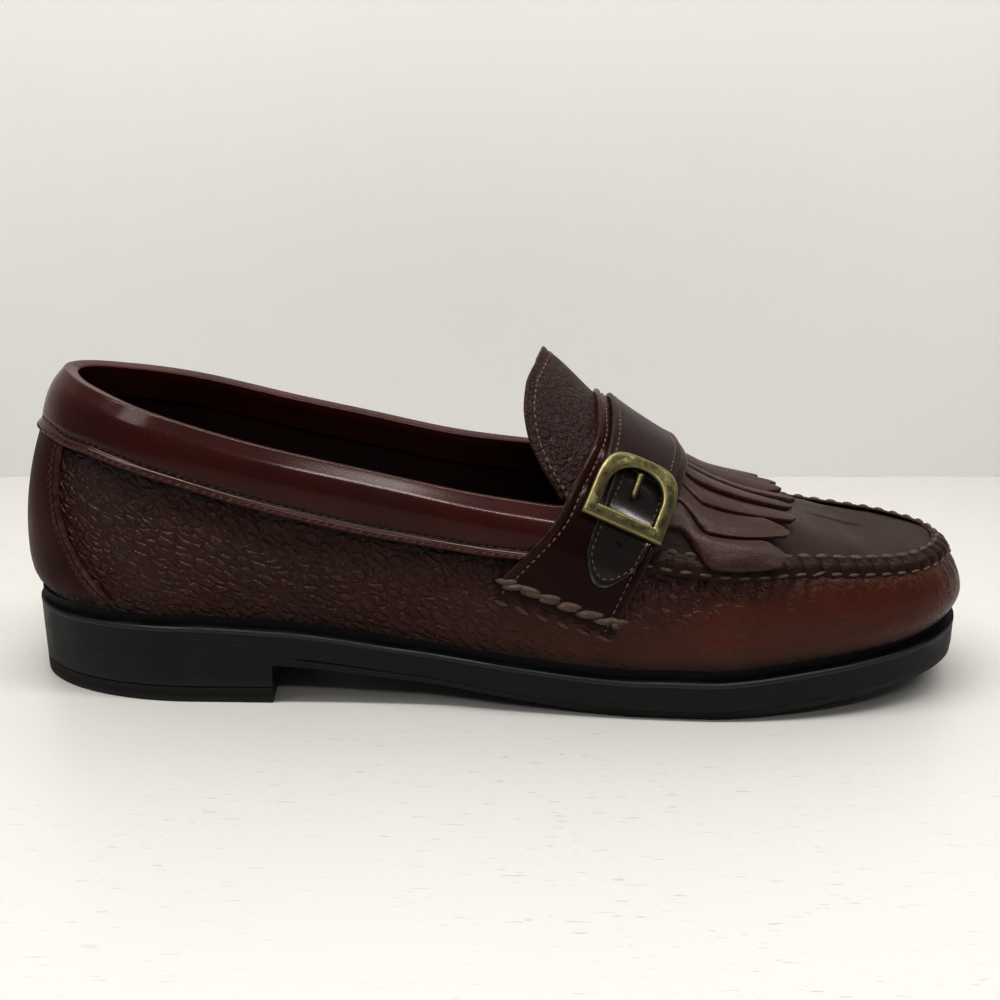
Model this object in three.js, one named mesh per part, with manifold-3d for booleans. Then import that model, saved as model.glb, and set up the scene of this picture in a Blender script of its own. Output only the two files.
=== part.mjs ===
// A kiltie buckle loafer for the right foot, in moccasin construction.
// Millimetres, +X to the toe, +Y to the medial side, +Z up, origin on the floor under the shoe's middle.

import * as THREE from 'three';
import { mergeVertices } from 'three/addons/utils/BufferGeometryUtils.js';
import Module from 'manifold-3d';

const wasm = await Module();
wasm.setup();

// Driving dimensions of the last and the upper
const LENGTH = 305;
const BALL_WIDTH = 100.5;
const INSTEP = 68;
const TOE_SWING = 3;
const WALL = 2;
const HEEL_ROUND = 58;
const HEEL_SET = 3;
const HEEL_LEAN = 15;
const COLLAR_HEIGHT = 97;
const COLLAR_MEDIAL_RISE = 3.6;
const TOE_ROLL = 9;
const EDGE_TUCK = 2.6;
const TOE_POWER = 2.4;

// Driving dimensions of the sole
const HEEL_HEIGHT = 13.5;
const LIFT_THICKNESS = 5;
const HEEL_LENGTH = 89.5;
const HEEL_TAPER = 0.6;
const BREAST_HOLLOW = 5;
const SOLE_THICKNESS = 12.5;
const SOLE_INSET = 2.5;
const TREAD_INSET = 1.6;
const RIDGE_PROUD = 0.8;
const TOE_SPRING = 11.2;
const LEDGE_HEIGHT = 3.2;
const LEDGE_INSET = 1.2;
const INSOLE_THICKNESS = 3;

// Driving dimensions of the leather pieces laid over the upper
const BAND_HEIGHT = 16.8;
const BAND_THICKNESS = 2.6;
const BAND_TURN_IN = 9;
const STAY_THICKNESS = 1.2;
const TONGUE_THICKNESS = 1.5;
const SADDLE_THICKNESS = 1.6;
const STRAP_THICKNESS = 1.5;
const SEAM_WIDTH = 7;
const SEAM_HEIGHT = 1.8;
const STRIP_GAP = 0.9;
const STRIP_CURL = 2.4;
const KILTIE_NOTCH = 3;
const STRIPS = 10;

// Driving dimensions of the buckle
const BUCKLE_WIDTH = 24.5;
const BUCKLE_HEIGHT = 23;
const BUCKLE_BAND = 4;
const BUCKLE_THICKNESS = 2.2;
const BUCKLE_BEVEL = 0.5;
const BUCKLE_STAND = 0.9;
const BUCKLE_TILT = -2;
const BILLET_WIDTH = 15;
const PRONG_LENGTH = 9;
const PRONG_THICKNESS = 2;
const BUCKLE_BEND = 60;

// The clearance between pieces that meet
const GAP = 0.3;

// Places along the last, as shares of LENGTH
const HEEL_SHARE = HEEL_ROUND / LENGTH;
const BREAST = HEEL_LENGTH / LENGTH;
const TOE_START = 0.72;
const SWING_START = 0.62;
const LEAN_END = 0.3;
const ROLL_START = 0.9;
const BAND_END = 0.5;

// Heights as shares: of the heel's fullest line under the collar, and of the tucked edge in the section
const HEEL_BULGE = 0.19;
const TUCK_HEIGHT = 0.35;

// How many stations are on the round heel, the middle and the round toe, and how many points are round a section
const STEPS = { heel: 7, middle: 19, toe: 10, around: 20 };

const COLOURS = {
  quarter: 0x57302a,
  burgundy: 0x4a1a1a,
  brown: 0x4a2d25,
  taupe: 0x5a3f36,
  billet: 0x1c1614,
  brass: 0x7d7248,
  rubber: 0x1d1b1b,
  sock: 0x1c3a2e,
};

// Stations along the last. at: share of LENGTH. lateral, medial: half widths as shares of half BALL_WIDTH.
// arch: share of HEEL_HEIGHT, spring: share of TOE_SPRING, for the rise of the sole's lower face, flat at the ball.
// thick: share of SOLE_THICKNESS. crown: height over the feather edge as a share of INSTEP.
// full: exponent of the section, 2 is an ellipse and more is squarer.
const STATIONS = [
  { at: 0.00, lateral: 0.77, medial: 0.73, arch: 1.00, spring: 0.00, thick: 0.93, crown: 1.36, full: 2.4 },
  { at: 0.12, lateral: 0.78, medial: 0.74, arch: 1.00, spring: 0.00, thick: 0.93, crown: 1.36, full: 2.4 },
  { at: 0.20, lateral: 0.785, medial: 0.74, arch: 1.00, spring: 0.00, thick: 0.92, crown: 1.34, full: 2.4 },
  { at: 0.30, lateral: 0.785, medial: 0.73, arch: 0.92, spring: 0.00, thick: 0.88, crown: 1.35, full: 2.4 },
  { at: 0.42, lateral: 0.79, medial: 0.72, arch: 0.58, spring: 0.00, thick: 0.86, crown: 1.36, full: 2.3 },
  { at: 0.53, lateral: 0.87, medial: 0.82, arch: 0.26, spring: 0.00, thick: 0.90, crown: 1.26, full: 2.2 },
  { at: 0.62, lateral: 0.93, medial: 0.93, arch: 0.04, spring: 0.00, thick: 0.96, crown: 1.02, full: 2.2 },
  { at: 0.65, lateral: 0.946, medial: 0.963, arch: 0.00, spring: 0.00, thick: 0.985, crown: 0.924, full: 2.27 },
  { at: 0.68, lateral: 0.96, medial: 0.99, arch: 0.00, spring: 0.00, thick: 1.00, crown: 0.83, full: 2.4 },
  { at: 0.72, lateral: 0.977, medial: 1.015, arch: 0.00, spring: 0.00, thick: 1.00, crown: 0.728, full: 2.66 },
  { at: 0.74, lateral: 0.98, medial: 1.02, arch: 0.00, spring: 0.03, thick: 1.00, crown: 0.68, full: 2.8 },
  { at: 0.80, lateral: 0.98, medial: 1.02, arch: 0.00, spring: 0.22, thick: 1.00, crown: 0.54, full: 3.2 },
  { at: 0.86, lateral: 0.98, medial: 1.02, arch: 0.00, spring: 0.44, thick: 0.97, crown: 0.43, full: 3.5 },
  { at: 0.92, lateral: 0.98, medial: 1.02, arch: 0.00, spring: 0.68, thick: 0.93, crown: 0.355, full: 3.5 },
  { at: 1.00, lateral: 0.98, medial: 1.02, arch: 0.00, spring: 1.00, thick: 0.88, crown: 0.295, full: 3.2 },
];

// The collar's rim. at: share of LENGTH, seen from the side. up: share of COLLAR_HEIGHT.
// medial: share of COLLAR_MEDIAL_RISE. band: share of BAND_HEIGHT.
const RIM = [
  { at: 0.000, up: 1.010, medial: 0.0, band: 1.05 },
  { at: 0.050, up: 1.005, medial: 0.0, band: 1.05 },
  { at: 0.100, up: 0.966, medial: 0.2, band: 0.96 },
  { at: 0.175, up: 0.898, medial: 0.6, band: 0.95 },
  { at: 0.272, up: 0.812, medial: 0.9, band: 0.97 },
  { at: 0.370, up: 0.742, medial: 1.0, band: 1.00 },
  { at: 0.480, up: 0.670, medial: 1.0, band: 0.90 },
  { at: 0.565, up: 0.633, medial: 1.0, band: 0.82 },
];

// Edges of the pieces over the instep. up: height in the section, 0 feather edge, 1 ridge. Others: shares of LENGTH.
const SADDLE_EDGES = [
  { up: 0.00, back: 0.455, front: 0.610, throat: 0.585, strapBack: 0.560, strapFront: 0.640, flap: 0.590 },
  { up: 0.24, back: 0.508, front: 0.630, throat: 0.585, strapBack: 0.570, strapFront: 0.645, flap: 0.585 },
  { up: 0.53, back: 0.567, front: 0.654, throat: 0.585, strapBack: 0.590, strapFront: 0.650, flap: 0.572 },
  { up: 0.67, back: 0.582, front: 0.667, throat: 0.600, strapBack: 0.602, strapFront: 0.663, flap: 0.552 },
  { up: 0.80, back: 0.597, front: 0.679, throat: 0.613, strapBack: 0.611, strapFront: 0.672, flap: 0.534 },
  { up: 0.92, back: 0.607, front: 0.690, throat: 0.624, strapBack: 0.619, strapFront: 0.683, flap: 0.537 },
  { up: 1.00, back: 0.608, front: 0.700, throat: 0.628, strapBack: 0.622, strapFront: 0.692, flap: 0.549 },
];

// The seam round the plug. at: share of LENGTH. up: height in the section.
const SEAM = [
  { at: 0.662, up: 0.55 },
  { at: 0.735, up: 0.64 },
  { at: 0.830, up: 0.80 },
  { at: 0.930, up: 0.86 },
  { at: 1.000, up: 0.88 },
];

// Places on the pieces over the last. up, low, back, front: heights in the section. at: shares of LENGTH.
const STAY_EDGE = { top: 0.052, foot: 0.121, low: 0.03, round: 1.7 };
const SADDLE_FOOT = { back: 0.235, front: 0.165 };
const SADDLE_SEAT = { high: 0.68, low: 0.84 };
const TONGUE_FOOT = 0.67;
const STRAP_END = { lateral: 0.80, medial: 0.34 };
const BILLET_TIP = { up: 0.345, round: 0.11, narrow: 0.12 };
const BILLET_SLANT = 0.09;
const KILTIE_LOW = { root: 0.15, tip: -0.03 };
const KILTIE_LIFT = { high: 0.17, low: 0.10 };
const YOKE = [0.655, 0.684, 0.712];
const KILTIE_TIP = { ridge: 0.806, side: 0.757 };
const BUCKLE_CENTRE = { at: 0.635, up: 0.72 };
const BUCKLE_SHOULDER = { up: 0.45, round: 0.6 };

// A smooth curve through one column of a table, with no overshoot at its rows
function column(rows, from, key) {
  const slope = (i) => (rows[i + 1][key] - rows[i][key]) / (rows[i + 1][from] - rows[i][from]);
  const tangents = rows.map((row, i) => {
    if (i === 0 || i === rows.length - 1) return slope(Math.min(i, rows.length - 2));
    const [before, after] = [slope(i - 1), slope(i)];
    return before * after <= 0 ? 0 : (2 * before * after) / (before + after);
  });
  return (value) => {
    const first = rows[0][from];
    const last = rows[rows.length - 1][from];
    const x = Math.min(Math.max(value, first), last);
    let i = 0;
    while (i < rows.length - 2 && x > rows[i + 1][from]) i += 1;
    const span = rows[i + 1][from] - rows[i][from];
    const t = (x - rows[i][from]) / span;
    const [a, b] = [rows[i][key], rows[i + 1][key]];
    const [ta, tb] = [tangents[i] * span, tangents[i + 1] * span];
    return a * (2 * t ** 3 - 3 * t ** 2 + 1) + b * (3 * t ** 2 - 2 * t ** 3)
      + ta * (t ** 3 - 2 * t ** 2 + t) + tb * (t ** 3 - t ** 2);
  };
}

const station = (key) => column(STATIONS, 'at', key);
const LAST = {
  lateral: station('lateral'),
  medial: station('medial'),
  arch: station('arch'),
  spring: station('spring'),
  thick: station('thick'),
  crown: station('crown'),
  full: station('full'),
};
const rimUp = column(RIM, 'at', 'up');
const rimMedial = column(RIM, 'at', 'medial');
const bandShare = column(RIM, 'at', 'band');
const seamUp = column(SEAM, 'at', 'up');
const edge = (key) => column(SADDLE_EDGES, 'up', key);

const lerp = THREE.MathUtils.lerp;
const smooth = THREE.MathUtils.smoothstep;


// Share of the full width left at a station, from the round heel and the round toe
function cap(s) {
  if (s < HEEL_SHARE) return Math.sqrt(Math.max(0, 1 - (1 - s / HEEL_SHARE) ** 2));
  if (s < TOE_START) return 1;
  const t = (s - TOE_START) / (1 - TOE_START);
  return Math.max(0, 1 - t ** TOE_POWER) ** (1 / TOE_POWER);
}

const rise = (s) => HEEL_HEIGHT * LAST.arch(s) + TOE_SPRING * LAST.spring(s);
const soleTop = (s) => rise(s) + SOLE_THICKNESS * LAST.thick(s);
const feather = (s) => soleTop(s) + LEDGE_HEIGHT;
const crown = (s) => INSTEP * LAST.crown(s);
const centre = (s) => TOE_SWING * smooth(s, SWING_START, 1);
const halfWidth = (s, side) => (side < 0 ? LAST.lateral(s) : LAST.medial(s)) * BALL_WIDTH / 2;

// How far the back of the heel is set in and leans to the front at a height
function lean(s, z) {
  const bulge = lerp(feather(0), COLLAR_HEIGHT, HEEL_BULGE);
  const reach = z > bulge ? (z - bulge) / (COLLAR_HEIGHT - bulge) : (bulge - z) / (bulge - feather(0));
  const most = z > bulge ? HEEL_LEAN : EDGE_TUCK;
  return (HEEL_SET + most * reach ** 2) * (1 - smooth(s, 0, LEAN_END));
}

// How far the toe is rolled back at a height in the section
function toeRoll(s, up) {
  const low = Math.max(0, 1 - up / TUCK_HEIGHT) ** 2;
  return (TOE_ROLL * up ** 3 + EDGE_TUCK * low) * smooth(s, ROLL_START, 1);
}

// Turn round the section, 0 ridge and 1 feather edge, at a height in it
function turnAt(s, up) {
  const n = LAST.full(s);
  const height = Math.min(Math.max(up, 0), 1);
  return Math.atan2((1 - height ** n) ** (1 / n), height) * 2 / Math.PI;
}

// Height in the section at a turn round it
function heightAt(s, turn) {
  const n = LAST.full(s);
  const angle = Math.min(Math.abs(turn), 1) * Math.PI / 2;
  return Math.cos(angle) * (Math.sin(angle) ** n + Math.cos(angle) ** n) ** (-1 / n);
}

// A point of the last, grown by an even thickness. turn: -1 lateral feather edge, 0 ridge, 1 medial feather edge.
function lastPoint(s, turn, grow) {
  const n = LAST.full(s);
  const angle = Math.abs(turn) * Math.PI / 2;
  const radius = (Math.sin(angle) ** n + Math.cos(angle) ** n) ** (-1 / n);
  const up = Math.abs(turn) >= 1 ? 0 : radius * Math.cos(angle);
  const side = Math.sign(turn);
  const tuck = EDGE_TUCK * Math.max(0, 1 - up / TUCK_HEIGHT) ** 2;
  const half = Math.max(0, halfWidth(s, side) + grow - tuck) * cap(s);
  const z = feather(s) + up * (crown(s) + grow);
  const x = s * LENGTH + grow * (2 * s - 1) + lean(s, z) - toeRoll(s, up);
  return new THREE.Vector3(x, centre(s) + side * radius * Math.sin(angle) * half, z);
}

// Stations with more of them where the heel and the toe are round
function stationList() {
  const { heel, middle, toe } = STEPS;
  const list = [];
  for (let i = 0; i < heel; i += 1) list.push(HEEL_SHARE * (1 - Math.cos((i / heel) * Math.PI / 2)));
  for (let i = 0; i < middle; i += 1) list.push(lerp(HEEL_SHARE, TOE_START, i / middle));
  for (let i = 0; i <= toe; i += 1) list.push(lerp(TOE_START, 1, Math.sin((i / toe) * Math.PI / 2)));
  return list;
}

// One closed geometry from points and triangles, with shared corners merged and its faces outwards
function closed(points, triangles) {
  const raw = new THREE.BufferGeometry();
  raw.setAttribute('position', new THREE.Float32BufferAttribute(points.flatMap((p) => [p.x, p.y, p.z]), 3));
  raw.setIndex(triangles.flat());
  const merged = mergeVertices(raw, 1e-3);
  const place = merged.getAttribute('position');
  const corner = (i) => new THREE.Vector3().fromBufferAttribute(place, i);
  const index = Array.from(merged.getIndex().array);
  const kept = [];
  let volume = 0;
  for (let i = 0; i < index.length; i += 3) {
    const [a, b, c] = index.slice(i, i + 3);
    if (a === b || b === c || a === c) continue;
    kept.push([a, b, c]);
    volume += corner(a).dot(corner(b).cross(corner(c)));
  }
  merged.setIndex((volume < 0 ? kept.map(([a, b, c]) => [a, c, b]) : kept).flat());
  return merged;
}

// A solid lofted through closed rings with as many points each; flat ends are closed with a fan
function loft(rings) {
  const count = rings[0].length;
  const points = rings.flat();
  const triangles = [];
  for (let i = 0; i < rings.length - 1; i += 1) {
    for (let j = 0; j < count; j += 1) {
      const [a, b] = [i * count + j, i * count + (j + 1) % count];
      triangles.push([a, b, b + count], [a, b + count, a + count]);
    }
  }
  for (const i of [0, rings.length - 1]) {
    const middle = new THREE.Vector3();
    rings[i].forEach((p) => middle.add(p));
    middle.divideScalar(count);
    const spread = Math.max(...rings[i].map((p) => Math.abs(p.y - middle.y)));
    if (spread < 1e-3) continue;
    points.push(middle);
    for (let j = 0; j < count; j += 1) {
      const [a, b] = [i * count + j, i * count + (j + 1) % count];
      triangles.push(i === 0 ? [b, a, points.length - 1] : [a, b, points.length - 1]);
    }
  }
  return closed(points, triangles);
}

// A sheet of leather: rows by columns cells, with a face at each layer (0 inner, 1 outer) and every edge closed.
// Cells that kept refuses are left out, as slits.
function sheet(rows, columns, place, kept = () => true) {
  const points = [];
  const triangles = [];
  const at = (layer, i, j) => (layer * (rows + 1) + i) * (columns + 1) + j;
  for (const layer of [0, 1]) {
    for (let i = 0; i <= rows; i += 1) {
      for (let j = 0; j <= columns; j += 1) points.push(place(i / rows, j / columns, layer));
    }
  }
  const quad = (a, b, c, d) => triangles.push([a, b, c], [a, c, d]);
  const isCell = (i, j) => i >= 0 && i < rows && j >= 0 && j < columns && kept(i, j);
  const wall = (i, j, k, l) => quad(at(1, i, j), at(0, i, j), at(0, k, l), at(1, k, l));
  for (let i = 0; i < rows; i += 1) {
    for (let j = 0; j < columns; j += 1) {
      if (!isCell(i, j)) continue;
      quad(at(1, i, j), at(1, i + 1, j), at(1, i + 1, j + 1), at(1, i, j + 1));
      quad(at(0, i, j), at(0, i, j + 1), at(0, i + 1, j + 1), at(0, i + 1, j));
      if (!isCell(i, j - 1)) wall(i, j, i + 1, j);
      if (!isCell(i + 1, j)) wall(i + 1, j, i + 1, j + 1);
      if (!isCell(i, j + 1)) wall(i + 1, j + 1, i, j + 1);
      if (!isCell(i - 1, j)) wall(i, j + 1, i, j);
    }
  }
  return closed(points, triangles);
}

function solidOf(geometry) {
  const bare = geometry.clone();
  bare.deleteAttribute('normal');
  bare.deleteAttribute('uv');
  const merged = mergeVertices(bare, 1e-4);
  return new wasm.Manifold(new wasm.Mesh({
    numProp: 3,
    vertProperties: new Float32Array(merged.getAttribute('position').array),
    triVerts: new Uint32Array(merged.getIndex().array),
  }));
}

function geometryOf(solid) {
  const mesh = solid.getMesh();
  const geometry = new THREE.BufferGeometry();
  geometry.setAttribute('position', new THREE.BufferAttribute(new Float32Array(mesh.vertProperties), 3));
  geometry.setIndex(new THREE.BufferAttribute(new Uint32Array(mesh.triVerts), 1));
  return geometry;
}

// The last as a closed solid, its lower face let down by a depth
function lastForm(grow, depth) {
  const { around } = STEPS;
  return loft(stationList().map((s) => {
    const ring = [];
    for (let i = 0; i <= around; i += 1) ring.push(lastPoint(s, (2 * i) / around - 1, grow));
    const [first, final] = [ring[0].clone(), ring[around].clone()];
    first.z -= depth;
    final.z -= depth;
    return depth > 0 ? [...ring, final, first] : ring;
  }));
}

// A block seen from the side, pulled out over one side of the shoe
function sideBlock(outline, side) {
  const shape = new THREE.Shape(outline.map(([x, z]) => new THREE.Vector2(x, z)));
  const overlap = 0.01;
  const geometry = new THREE.ExtrudeGeometry(shape, { depth: BALL_WIDTH + overlap, bevelEnabled: false });
  geometry.rotateX(Math.PI / 2);
  geometry.translate(0, side < 0 ? overlap : BALL_WIDTH, 0);
  return solidOf(geometry);
}

const rimHeight = (x, side) => COLLAR_HEIGHT * rimUp(x / LENGTH)
  + (side > 0 ? COLLAR_MEDIAL_RISE * rimMedial(x / LENGTH) : 0);

// Everything over the collar's rim and behind the throat, on one side
function collarOpening(side) {
  const throat = edge('throat');
  const outline = [];
  const rimSteps = 24;
  const throatSteps = 4;
  const front = throat(BAND_END);
  const behind = -HEEL_ROUND / 2;
  for (let i = 0; i <= rimSteps; i += 1) {
    const x = lerp(behind, front * LENGTH - WALL, i / rimSteps);
    outline.push([x, rimHeight(x, side)]);
  }
  const low = (rimHeight(front * LENGTH, side) - feather(front)) / crown(front);
  for (let i = 1; i <= throatSteps; i += 1) {
    const up = lerp(low, 1, i / throatSteps);
    const s = throat(up);
    outline.push([s * LENGTH, feather(s) + up * crown(s)]);
  }
  const over = 2 * COLLAR_HEIGHT;
  outline.push([throat(1) * LENGTH, over], [behind, over]);
  return sideBlock(outline, side);
}

// The section of the seam's bead. across: share of SEAM_WIDTH. out: share of SEAM_HEIGHT.
const SEAM_SECTION = [
  { across: -0.50, out: -0.80 },
  { across: -0.42, out: 0.35 },
  { across: -0.16, out: 1.00 },
  { across: 0.16, out: 1.00 },
  { across: 0.42, out: 0.35 },
  { across: 0.50, out: -0.80 },
];

// The seam's raised bead, swept round the plug on the surface of the last
function seamBead() {
  const steps = 22;
  const path = [];
  for (let i = -steps; i <= steps; i += 1) {
    const s = lerp(1, SEAM[0].at, 1 - Math.cos((i / steps) * Math.PI / 2));
    path.push({ s, side: i < 0 ? -1 : 1 });
  }
  const place = path.map(({ s, side }) => lastPoint(s, side * turnAt(s, seamUp(s)), 0));
  return loft(path.map(({ s, side }, i) => {
    const along = place[Math.min(i + 1, place.length - 1)].clone().sub(place[Math.max(i - 1, 0)]).normalize();
    const up = seamUp(s);
    const out = lastPoint(s, side * turnAt(s, up), 1).sub(lastPoint(s, side * turnAt(s, up), 0));
    out.sub(along.clone().multiplyScalar(out.dot(along))).normalize();
    const across = new THREE.Vector3().crossVectors(along, out);
    return SEAM_SECTION.map((row) => place[i].clone()
      .addScaledVector(across, row.across * SEAM_WIDTH)
      .addScaledVector(out, row.out * SEAM_HEIGHT));
  }));
}

function upperGeometry() {
  const outer = solidOf(lastForm(0, 0)).add(solidOf(seamBead()));
  const inner = solidOf(lastForm(-WALL, LEDGE_HEIGHT));
  const open = collarOpening(-1).add(collarOpening(1));
  return geometryOf(outer.subtract(inner).subtract(open));
}

// One ring of a sole layer, lateral side first. profileAt gives its side's points at a share of LENGTH.
function layerRing(s, profileAt, ends) {
  const x = lerp(ends.back, LENGTH - ends.front, s);
  const profile = profileAt(x / LENGTH);
  const point = (side, { out, z }) => {
    const half = Math.max(0, halfWidth(s, side) - EDGE_TUCK + out) * cap(s);
    return new THREE.Vector3(x, centre(s) + side * half, z);
  };
  return [...profile.map((p) => point(-1, p)), ...profile.map((p) => point(1, p)).reverse()];
}

// The sole's side wall. up: share of its height. inset: share of TREAD_INSET. proud: share of RIDGE_PROUD.
const SIDE_WALL = [
  { up: 0.00, inset: 1.0, proud: 0 },
  { up: 0.20, inset: 0.5, proud: 0 },
  { up: 0.24, inset: 0.0, proud: 0 },
  { up: 0.80, inset: 0.0, proud: 0 },
  { up: 0.86, inset: 0.0, proud: 1 },
  { up: 0.96, inset: 0.0, proud: 1 },
  { up: 1.00, inset: 0.0, proud: 0 },
];

// The side wall at a station, from the tread up. The tread is set in before the heel only.
function sideWall(s) {
  const over = EDGE_TUCK - SOLE_INSET / 2;
  const inset = TREAD_INSET * smooth(s, BREAST, BREAST + HEEL_SHARE);
  return SIDE_WALL.map((row) => ({
    out: over - row.inset * inset + row.proud * RIDGE_PROUD,
    z: lerp(rise(s), soleTop(s), row.up),
  }));
}

const SOLE_ENDS = { back: HEEL_SET + 2 * GAP, front: SOLE_INSET / 2 };

// The heel between two heights, with its hollow breast
function heelBlock(low, high) {
  const list = stationList().filter((s) => s < BREAST);
  list.push(BREAST + SOLE_INSET / LENGTH);
  const over = EDGE_TUCK - SOLE_INSET / 2;
  const taper = (z) => HEEL_TAPER * (1 - z / HEEL_HEIGHT);
  const block = solidOf(loft(list.map((s) => layerRing(s, () => [
    { out: over - taper(low), z: low },
    { out: over - taper(high), z: high },
  ], SOLE_ENDS))));
  const radius = (BALL_WIDTH / 2) ** 2 / (2 * BREAST_HOLLOW);
  const hollow = new THREE.CylinderGeometry(radius, radius, 3 * HEEL_HEIGHT, 6 * STEPS.around);
  hollow.rotateX(Math.PI / 2);
  hollow.translate(HEEL_LENGTH - BREAST_HOLLOW + radius, 0, 0);
  return block.subtract(solidOf(hollow));
}

function outsoleGeometry() {
  const sole = solidOf(loft(stationList().map((s) => layerRing(s, sideWall, SOLE_ENDS))));
  return geometryOf(sole.add(heelBlock(LIFT_THICKNESS + GAP, HEEL_HEIGHT + TREAD_INSET)));
}

const liftGeometry = () => geometryOf(heelBlock(0, LIFT_THICKNESS));

function midsoleGeometry() {
  const ends = { back: HEEL_SET + LEDGE_INSET, front: LEDGE_INSET + EDGE_TUCK };
  return loft(stationList().map((s) => layerRing(s, (at) => [
    { out: -LEDGE_INSET, z: soleTop(at) + GAP },
    { out: -LEDGE_INSET, z: feather(at) - GAP },
  ], ends)));
}

function insoleGeometry() {
  const inset = WALL + 3 * GAP;
  const ends = { back: HEEL_SET + inset + EDGE_TUCK, front: inset + EDGE_TUCK + TOE_ROLL / 3 };
  return loft(stationList().map((s) => layerRing(s, (at) => [
    { out: -inset, z: feather(at) },
    { out: -inset, z: feather(at) + INSOLE_THICKNESS },
  ], ends)));
}

// Height in the section of the rim, or of a line a depth below it, at a station of one side
function rimShare(s, side, depth, grow) {
  let z = COLLAR_HEIGHT;
  for (let i = 0; i < 12; i += 1) {
    z = rimHeight(s * LENGTH + grow * (2 * s - 1) + lean(s, z), side) - depth;
  }
  return (z - feather(s)) / (crown(s) + grow);
}

// The band's section. down: depth under the rim, as shares of BAND_TURN_IN (negative) or of the band's height.
// rise, show: how far it stands over the rim, and off the upper's side, as shares of BAND_THICKNESS.
const BAND_SECTION = [
  { down: -1.00, rise: 0.0, show: 0.35 },
  { down: -0.15, rise: 0.0, show: 0.60 },
  { down: 0.00, rise: 0.4, show: 0.40, inside: true },
  { down: 0.00, rise: 0.7, show: 0.35 },
  { down: 0.10, rise: 0.0, show: 0.85 },
  { down: 0.32, rise: 0.0, show: 1.00 },
  { down: 0.68, rise: 0.0, show: 0.74 },
  { down: 1.00, rise: 0.0, show: 0.36 },
];

// The collar's padded band, turned over the rim and a little way down inside
function bandGeometry() {
  const back = edge('back');
  const stations = stationList().filter((s) => s < BAND_END);
  const path = [...stations.slice(1).reverse().map((s) => -s), ...stations];
  path.unshift(-1);
  path.push(1);
  const last = BAND_SECTION.length - 1;
  return sheet(path.length - 1, last, (u, v, layer) => {
    const p = path[Math.round(u * (path.length - 1))];
    const side = p < 0 ? -1 : 1;
    const row = BAND_SECTION[Math.round(v * last)];
    const inside = row.down < 0 || row.inside;
    const height = (s) => (inside ? -row.down * BAND_TURN_IN : row.down * BAND_HEIGHT * bandShare(s));
    const over = row.down === 0 ? GAP + layer * row.rise * BAND_THICKNESS : 0;
    const skin = inside ? -WALL - 2 * GAP : GAP;
    const grow = skin + layer * row.show * BAND_THICKNESS * (inside ? -1 : 1);
    let s = Math.abs(p);
    if (Math.abs(p) === 1) {
      for (let i = 0; i < 6; i += 1) s = back(rimShare(s, side, height(s) - over, grow)) - 2 * GAP / LENGTH;
    }
    const up = rimShare(s, side, height(s) - over, grow);
    return lastPoint(s, side * turnAt(s, up), grow);
  });
}

function stayGeometry() {
  return sheet(24, 8, (u, v, layer) => {
    const p = 2 * u - 1;
    const side = p < 0 ? -1 : 1;
    const s = Math.abs(p) ** STAY_EDGE.round * lerp(STAY_EDGE.top, STAY_EDGE.foot, v ** 2);
    const grow = GAP + layer * STAY_THICKNESS;
    const top = rimShare(s, side, BAND_HEIGHT * bandShare(s) + 2 * GAP, grow);
    return lastPoint(s, side * turnAt(s, lerp(top, STAY_EDGE.low, v)), grow);
  });
}

// How far a piece over the instep stands off the upper, where the tongue and the kiltie pass under it
function saddleSeat(turn) {
  return lerp(GAP * 2 + TONGUE_THICKNESS, GAP, smooth(Math.abs(turn), SADDLE_SEAT.high, SADDLE_SEAT.low));
}

function saddleGeometry() {
  const [back, front] = [edge('back'), edge('front')];
  return sheet(30, 4, (u, v, layer) => {
    const footUp = lerp(SADDLE_FOOT.back, SADDLE_FOOT.front, v);
    const middle = lerp(back(footUp), front(footUp), v);
    const most = turnAt(middle, footUp);
    const turn = (2 * u - 1) * most;
    const up = heightAt(middle, turn);
    const s = lerp(back(up), front(up), v);
    return lastPoint(s, Math.sign(turn) * turnAt(s, up), saddleSeat(turn) + layer * SADDLE_THICKNESS);
  });
}

function tongueGeometry() {
  const flap = edge('flap');
  const foot = edge('back')(TONGUE_FOOT);
  return sheet(22, 5, (u, v, layer) => {
    const side = Math.sign(u - 0.5);
    const grow = GAP + layer * TONGUE_THICKNESS;
    const lowest = rimShare(foot, side, -BAND_THICKNESS, grow);
    const turn = (2 * u - 1) * turnAt(foot, lowest);
    const up = heightAt(foot, turn);
    const s = lerp(flap(up), YOKE[0] - 2 * GAP / LENGTH, v);
    return lastPoint(s, side * turnAt(s, up), grow);
  });
}

// How far a piece is lifted where it lies over the seam's bead
function overBead(s, turn) {
  const past = heightAt(s, turn) - seamUp(s);
  const near = 1 - smooth(past, KILTIE_LIFT.low, KILTIE_LIFT.high);
  return (SEAM_HEIGHT + GAP) * near * smooth(s, YOKE[1], YOKE[2]);
}

// The turn round the section where the kiltie ends: over the saddle's edge at its root, then down on the bead
function kiltieSide(s) {
  return turnAt(s, seamUp(s) + lerp(KILTIE_LOW.root, KILTIE_LOW.tip, smooth(s, YOKE[1], YOKE[2])));
}

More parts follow.
